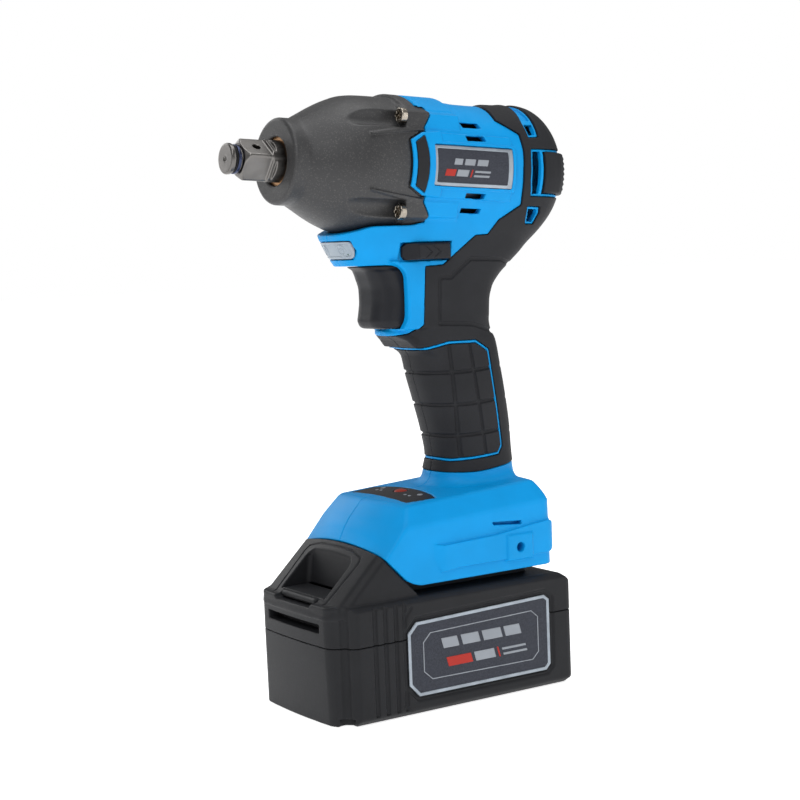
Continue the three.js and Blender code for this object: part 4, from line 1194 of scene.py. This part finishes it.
def steel(name, colour, roughness, stretch=(1, 1, 1), scale=900):
    f = Finish(name, colour, roughness, 1.0)
    lines = f.noise(scale, 3.0, 0.6, stretch)
    f.tint(f.noise(120, 3.0), 0.86, 1.1)
    f.gloss(lines, roughness - 0.08, roughness + 0.12)
    f.relief(lines, 0.00004, 0.35)
    return f


BRIGHT = steel("drive_steel", (0.155, 0.148, 0.142), 0.30, (0.25, 1, 1))
DARK = steel("dark_steel", (0.11, 0.11, 0.12), 0.36)
SPRING = steel("spring_steel", (0.32, 0.32, 0.33), 0.3, (1, 0.3, 0.3))
SCREW = steel("screw_steel", (0.33, 0.295, 0.25), 0.24)
LAMINATION = steel("lamination_steel", (0.22, 0.22, 0.23), 0.42, (9, 0.2, 0.2))
BRONZE = steel("bronze_bushing", (0.42, 0.24, 0.12), 0.42)
RING = steel("blued_ring", (0.045, 0.055, 0.10), 0.28)
SILVER = steel("silver_border", (0.30, 0.335, 0.375), 0.46, (1, 1, 1), 1800)
RUBBER = moulded("seal_rubber", (0.010, 0.010, 0.011), 0.6, 1500, 0.00005)
RED = moulded("red_moulding", (0.42, 0.020, 0.016), 0.4, 1800, 0.00005)
BUTTON_RED = moulded("red_button", (0.30, 0.035, 0.022), 0.4, 1800, 0.00004)
BOARD = moulded("circuit_board", (0.010, 0.075, 0.028), 0.45, 1500, 0.00004, 0.2)
WRAP = moulded("cell_wrap", (0.02, 0.11, 0.30), 0.35, 900, 0.00003)
MARK_GREY = moulded("mark_grey", (0.26, 0.28, 0.31), 0.45, 2500, 0.00002)
MARK_RED = moulded("mark_red", (0.38, 0.030, 0.022), 0.42, 2500, 0.00002)


def plate_finish():
    f = Finish("label_plate", (0.033, 0.036, 0.047), 0.45, 0.0)
    fleck = f.noise(2600, 4.0, 0.7)
    f.tint(fleck, 0.72, 1.35, 0.38, 0.62)
    f.gloss(f.noise(900), 0.36, 0.5)
    f.relief(fleck, 0.00003, 0.3)
    return f


PLATE = plate_finish()


def lens_finish():
    f = Finish("clear_lens", (0.34, 0.40, 0.46), 0.16)
    f.shader.inputs["Transmission Weight"].default_value = 0.18
    f.shader.inputs["IOR"].default_value = 1.49
    f.gloss(f.noise(420, 3.0), 0.08, 0.2)
    f.relief(f.noise(300, 2.0), 0.00002, 0.2)
    return f


LENS = lens_finish()


def dress(piece, finish):
    piece.data.materials.clear()
    piece.data.materials.append(finish.material)
    return piece


def place(piece, ridden, slot_name, finish, *nodes):
    dress(piece, finish)
    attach(piece, ridden)
    if nodes:
        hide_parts(*nodes)
    return piece


# ---------------------------------------------------------------- pieces
def world_box(low, high):
    """World box that holds a box given in barrel coordinates."""
    corners = [from_barrel(*corner) for corner in itertools.product(*zip(low, high))]
    return np.min(corners, 0), np.max(corners, 0)


def flipped(space, side):
    """A box for the left side, mirrored when side is -1."""
    low, high = space
    if side > 0:
        return low, high
    return (low[0], -high[1], low[2]), (high[0], -low[1], high[2])


def add(name, field, space, cell, target, ridden, slot_name, finish, *nodes):
    """Sculpts one piece inside a box, dresses it, and ties it to its body."""
    return place(sculpted(name, field, *space, cell, target), ridden, slot_name, finish, *nodes)


SIDES = ((1, "left", sided), (-1, "right", mirrored))
MARKS = ((0, MARK_GREY), (1, MARK_RED))

for side, word, wrap in SIDES:
    add(f"{word}_housing_shell", wrap(lambda P, right=side < 0: blue_housing(P, right)),
        flipped(((-84, 0, 52), (40, 36, 257)), side), 0.5, 190000,
        "root", "blue_plastic", BLUE, f"{word}_housing")
    add(f"{word}_soft_overmould", wrap(overmould), flipped(((-84, 0, 93), (16, 33, 256)), side),
        0.42, 150000, "root", "soft_black", SOFT, f"{word}_overmould")
    add(f"{word}_grip_cover", wrap(grip_panel), flipped(((-42, 0, 98), (8, 20, 152)), side),
        0.34, 90000, "root", "soft_black", SOFT, f"{word}_grip_panel")
    add(f"{word}_flange_inset", wrap(flange_insert), flipped(world_box((1, 26, -13), (8, 32, 13)), side),
        0.3, 20000, "root", "soft_black", SOFT)

add("hammer_case_shell", sided(hammer_case), world_box((-2, -34, -34), (57, 34, 34)), 0.5, 180000,
    "root", "case_alloy", CASE, "hammer_case")
add("rear_bumper_pad", sided(rear_bumper), world_box((-85, -30, -11), (-59, 30, 12)), 0.4, 60000,
    "root", "soft_black", SOFT, "rear_bumper")
add("trigger_blade", sided(trigger), ((-1, -13, 157), (30, 13, 185)), 0.36, 50000,
    "trigger", "trigger_black", HARD, "trigger")
add("lever_bar", sided(lever), ((-12, -21, 185), (13, 21, 193.5)), 0.32, 40000,
    "lever", "black_plastic", HARD, "direction_lever")
add("lamp_window", sided(lamp_lens), ((28, -12, 186), (38, 12, 196)), 0.3, 40000,
    "root", "clear_plastic", LENS, "lamp_lens")
add("top_panel", sided(control_panel), ((-1, -25, 83), (18, 25, 91)), 0.3, 30000,
    "root", "black_plastic", HARD, "control_panel")
add("panel_dots", sided(panel_dots), ((3, -17, 84), (12, 17, 91)), 0.2, 12000,
    "root", "black_plastic", MARK_GREY)
add("mode_cap", sided(mode_button), ((BUTTON[0] - 4, -4, 84), (BUTTON[0] + 4, 4, 91)), 0.18, 12000,
    "mode_button", "red_button", BUTTON_RED, "mode_button")
add("release_coil", sided(release_coil), ((43.5, -2, 43.8), (52.5, 2, 47.3)), 0.14, 12000,
    "battery", "spring_steel", SPRING, "release_spring")
for number, (y, h) in enumerate(SCREWS, 1):
    add(f"torx_screw_{number}", sided(case_screw), world_box((-4, y - 3.5, h - 3.5), (13, y + 3.5, h + 3.5)),
        0.2, 16000, "root", "screw_steel", SCREW, f"case_screw_{number}")
add("right_case_screws", sided(housing_screw), ((-33, -12.5, 105), (2, -9, 180)), 0.25, 16000,
    "root", "screw_steel", DARK)

for side, word, wrap in SIDES:
    space = flipped(world_box((-43, 26, -10), (-1, 31, 10)), side)
    add(f"{word}_plate", wrap(nameplate), space, 0.34, 20000,
        "root", "label_plate", PLATE, f"{word}_nameplate")
    add(f"{word}_plate_border", wrap(plate_frame), space, 0.28, 30000, "root", "label_plate", SILVER)
    for kind, finish in MARKS:
        add(f"{word}_plate_marks_{kind}", wrap(lambda P, kind=kind: plate_marks(P)[kind]), space, 0.15, 14000,
            "root", "label_plate", finish)
    space = flipped(((-47, 33.4, 6), (29, 35.2, 42)), side)
    name = "battery_label_left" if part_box("battery_label_left")[0][1] * side > 0 else "battery_label_right"
    add(f"{word}_pack_label", wrap(label_sheet), space, 0.4, 16000, "battery", "label_plate", PLATE, name)
    add(f"{word}_pack_border", wrap(label_frame), space, 0.3, 24000, "battery", "label_plate", SILVER)
    for kind, finish in MARKS:
        add(f"{word}_pack_marks_{kind}", wrap(lambda P, kind=kind: label_marks(P)[kind]), space, 0.16, 24000,
            "battery", "label_plate", finish)

space = world_box((73, -8, -8), (78, 8, 8))
add("drive_ring", sided(lambda P: ring(P, 75.2, 0.65, 4.8, 5.95)), space, 0.2, 12000,
    "drive", "dark_steel", RING, "socket_retainer_ring")
add("drive_cushion", sided(lambda P: ring(P, 76.3, 0.45, 4.8, 5.7)), space, 0.2, 12000,
    "drive", "seal_rubber", RUBBER, "retainer_o_ring")
add("drive_anvil", sided(anvil), world_box((32, -20, -20), (80, 20, 20)), 0.36, 120000,
    "drive", "drive_steel", BRIGHT, "anvil")
add("battery_tub", sided(battery_lower), ((-59, -36, 0), (62, 36, 33)), 0.55, 150000,
    "battery", "battery_black", PACK, "battery_lower_case")
add("battery_lid", sided(battery_upper), ((-59, -36, 31), (62, 36, 70)), 0.48, 190000,
    "battery", "battery_black", PACK, "battery_upper_case")
add("release_key", sided(release_button), ((42, -18, 46), (60, 18, 51)), 0.32, 30000,
    "release_button", "battery_black", PACK, "release_button")

# ---------------------------------------------------------------- carried-over CAD nodes
CAD_FINISH = {
    "nose_bushing": BRONZE, "hammer": DARK, "hammer_spring": SPRING, "cam_spindle": BRIGHT,
    "cam_ball": BRIGHT, "planet_gear": BRIGHT, "planet_pin": DARK, "ring_gear": DARK, "gearbox_plate": DARK,
    "motor_shaft": BRIGHT,
    "rotor_core": LAMINATION, "cooling_fan": HARD, "stator_core": LAMINATION, "stator_insulator": RED,
    "front_bearing": BRIGHT, "rear_bearing": BRIGHT, "trigger_switch": HARD, "lamp_board": BOARD,
    "controller_board": BOARD, "terminal_block": HARD, "cell_pair": WRAP,
    "battery_board": BOARD,
}
for name, node in frame["nodes"].items():
    for start, finish in CAD_FINISH.items():
        if name.startswith(start) and not node.hide_render:
            for slot in node.material_slots:
                slot.material = finish.material


# ---------------------------------------------------------------- floor and light
def floor():
    mesh = bpy.data.meshes.new("floor")
    r = 6.0
    mesh.from_pydata([(-r, -r, 0), (r, -r, 0), (r, r, 0), (-r, r, 0)], [], [(0, 1, 2, 3)])
    plane = bpy.data.objects.new("floor", mesh)
    bpy.context.scene.collection.objects.link(plane)
    plane.location.z = -0.0003
    f = Finish("floor_white", (0.90, 0.90, 0.90), 0.9)
    f.tint(f.noise(2, 2), 0.995, 1.005)
    f.shader.inputs["Emission Color"].default_value = (1, 1, 1, 1)
    f.shader.inputs["Emission Strength"].default_value = 0.78
    dress(plane, f)


def area_light(name, place, target, size, power):
    data = bpy.data.lights.new(name, "AREA")
    data.shape = "RECTANGLE"
    data.size, data.size_y = size
    data.energy = power
    light = bpy.data.objects.new(name, data)
    bpy.context.scene.collection.objects.link(light)
    back = np.array(place) - np.array(target)
    back = back / np.linalg.norm(back)
    right = np.cross((0, 0, 1), back)
    right = right / np.linalg.norm(right)
    up = np.cross(back, right)
    matrix = np.eye(4)
    matrix[:3, 0], matrix[:3, 1], matrix[:3, 2], matrix[:3, 3] = right, up, back, place
    light.matrix_world = Matrix(matrix.tolist())


def lights():
    middle = (0.0, 0.0, 0.13)
    area_light("key", (0.7, 0.6, 0.85), middle, (0.6, 0.6), 5.6)
    area_light("side", (-0.75, 0.85, 0.35), middle, (0.5, 0.9), 2.6)
    area_light("top", (-0.1, 0.05, 1.1), (0, 0.001, 0.1), (0.9, 0.7), 5.6)
    area_light("far", (0.2, -0.9, 0.5), middle, (0.8, 0.6), 3)
    world = bpy.data.worlds.new("studio")
    bpy.context.scene.world = world
    world.use_nodes = True
    tree = world.node_tree
    soft = tree.nodes["Background"]
    soft.inputs["Color"].default_value = (1, 1, 1, 1)
    soft.inputs["Strength"].default_value = 0.28
    white = tree.nodes.new("ShaderNodeBackground")
    white.inputs["Strength"].default_value = 1.0
    white.inputs["Color"].default_value = (1, 1, 1, 1)
    path = tree.nodes.new("ShaderNodeLightPath")
    choice = tree.nodes.new("ShaderNodeMixShader")
    tree.links.new(path.outputs["Is Camera Ray"], choice.inputs["Fac"])
    tree.links.new(soft.outputs["Background"], choice.inputs[1])
    tree.links.new(white.outputs["Background"], choice.inputs[2])
    tree.links.new(choice.outputs["Shader"], tree.nodes["World Output"].inputs["Surface"])
    bpy.context.scene.view_settings.view_transform = "Standard"


floor()
lights()
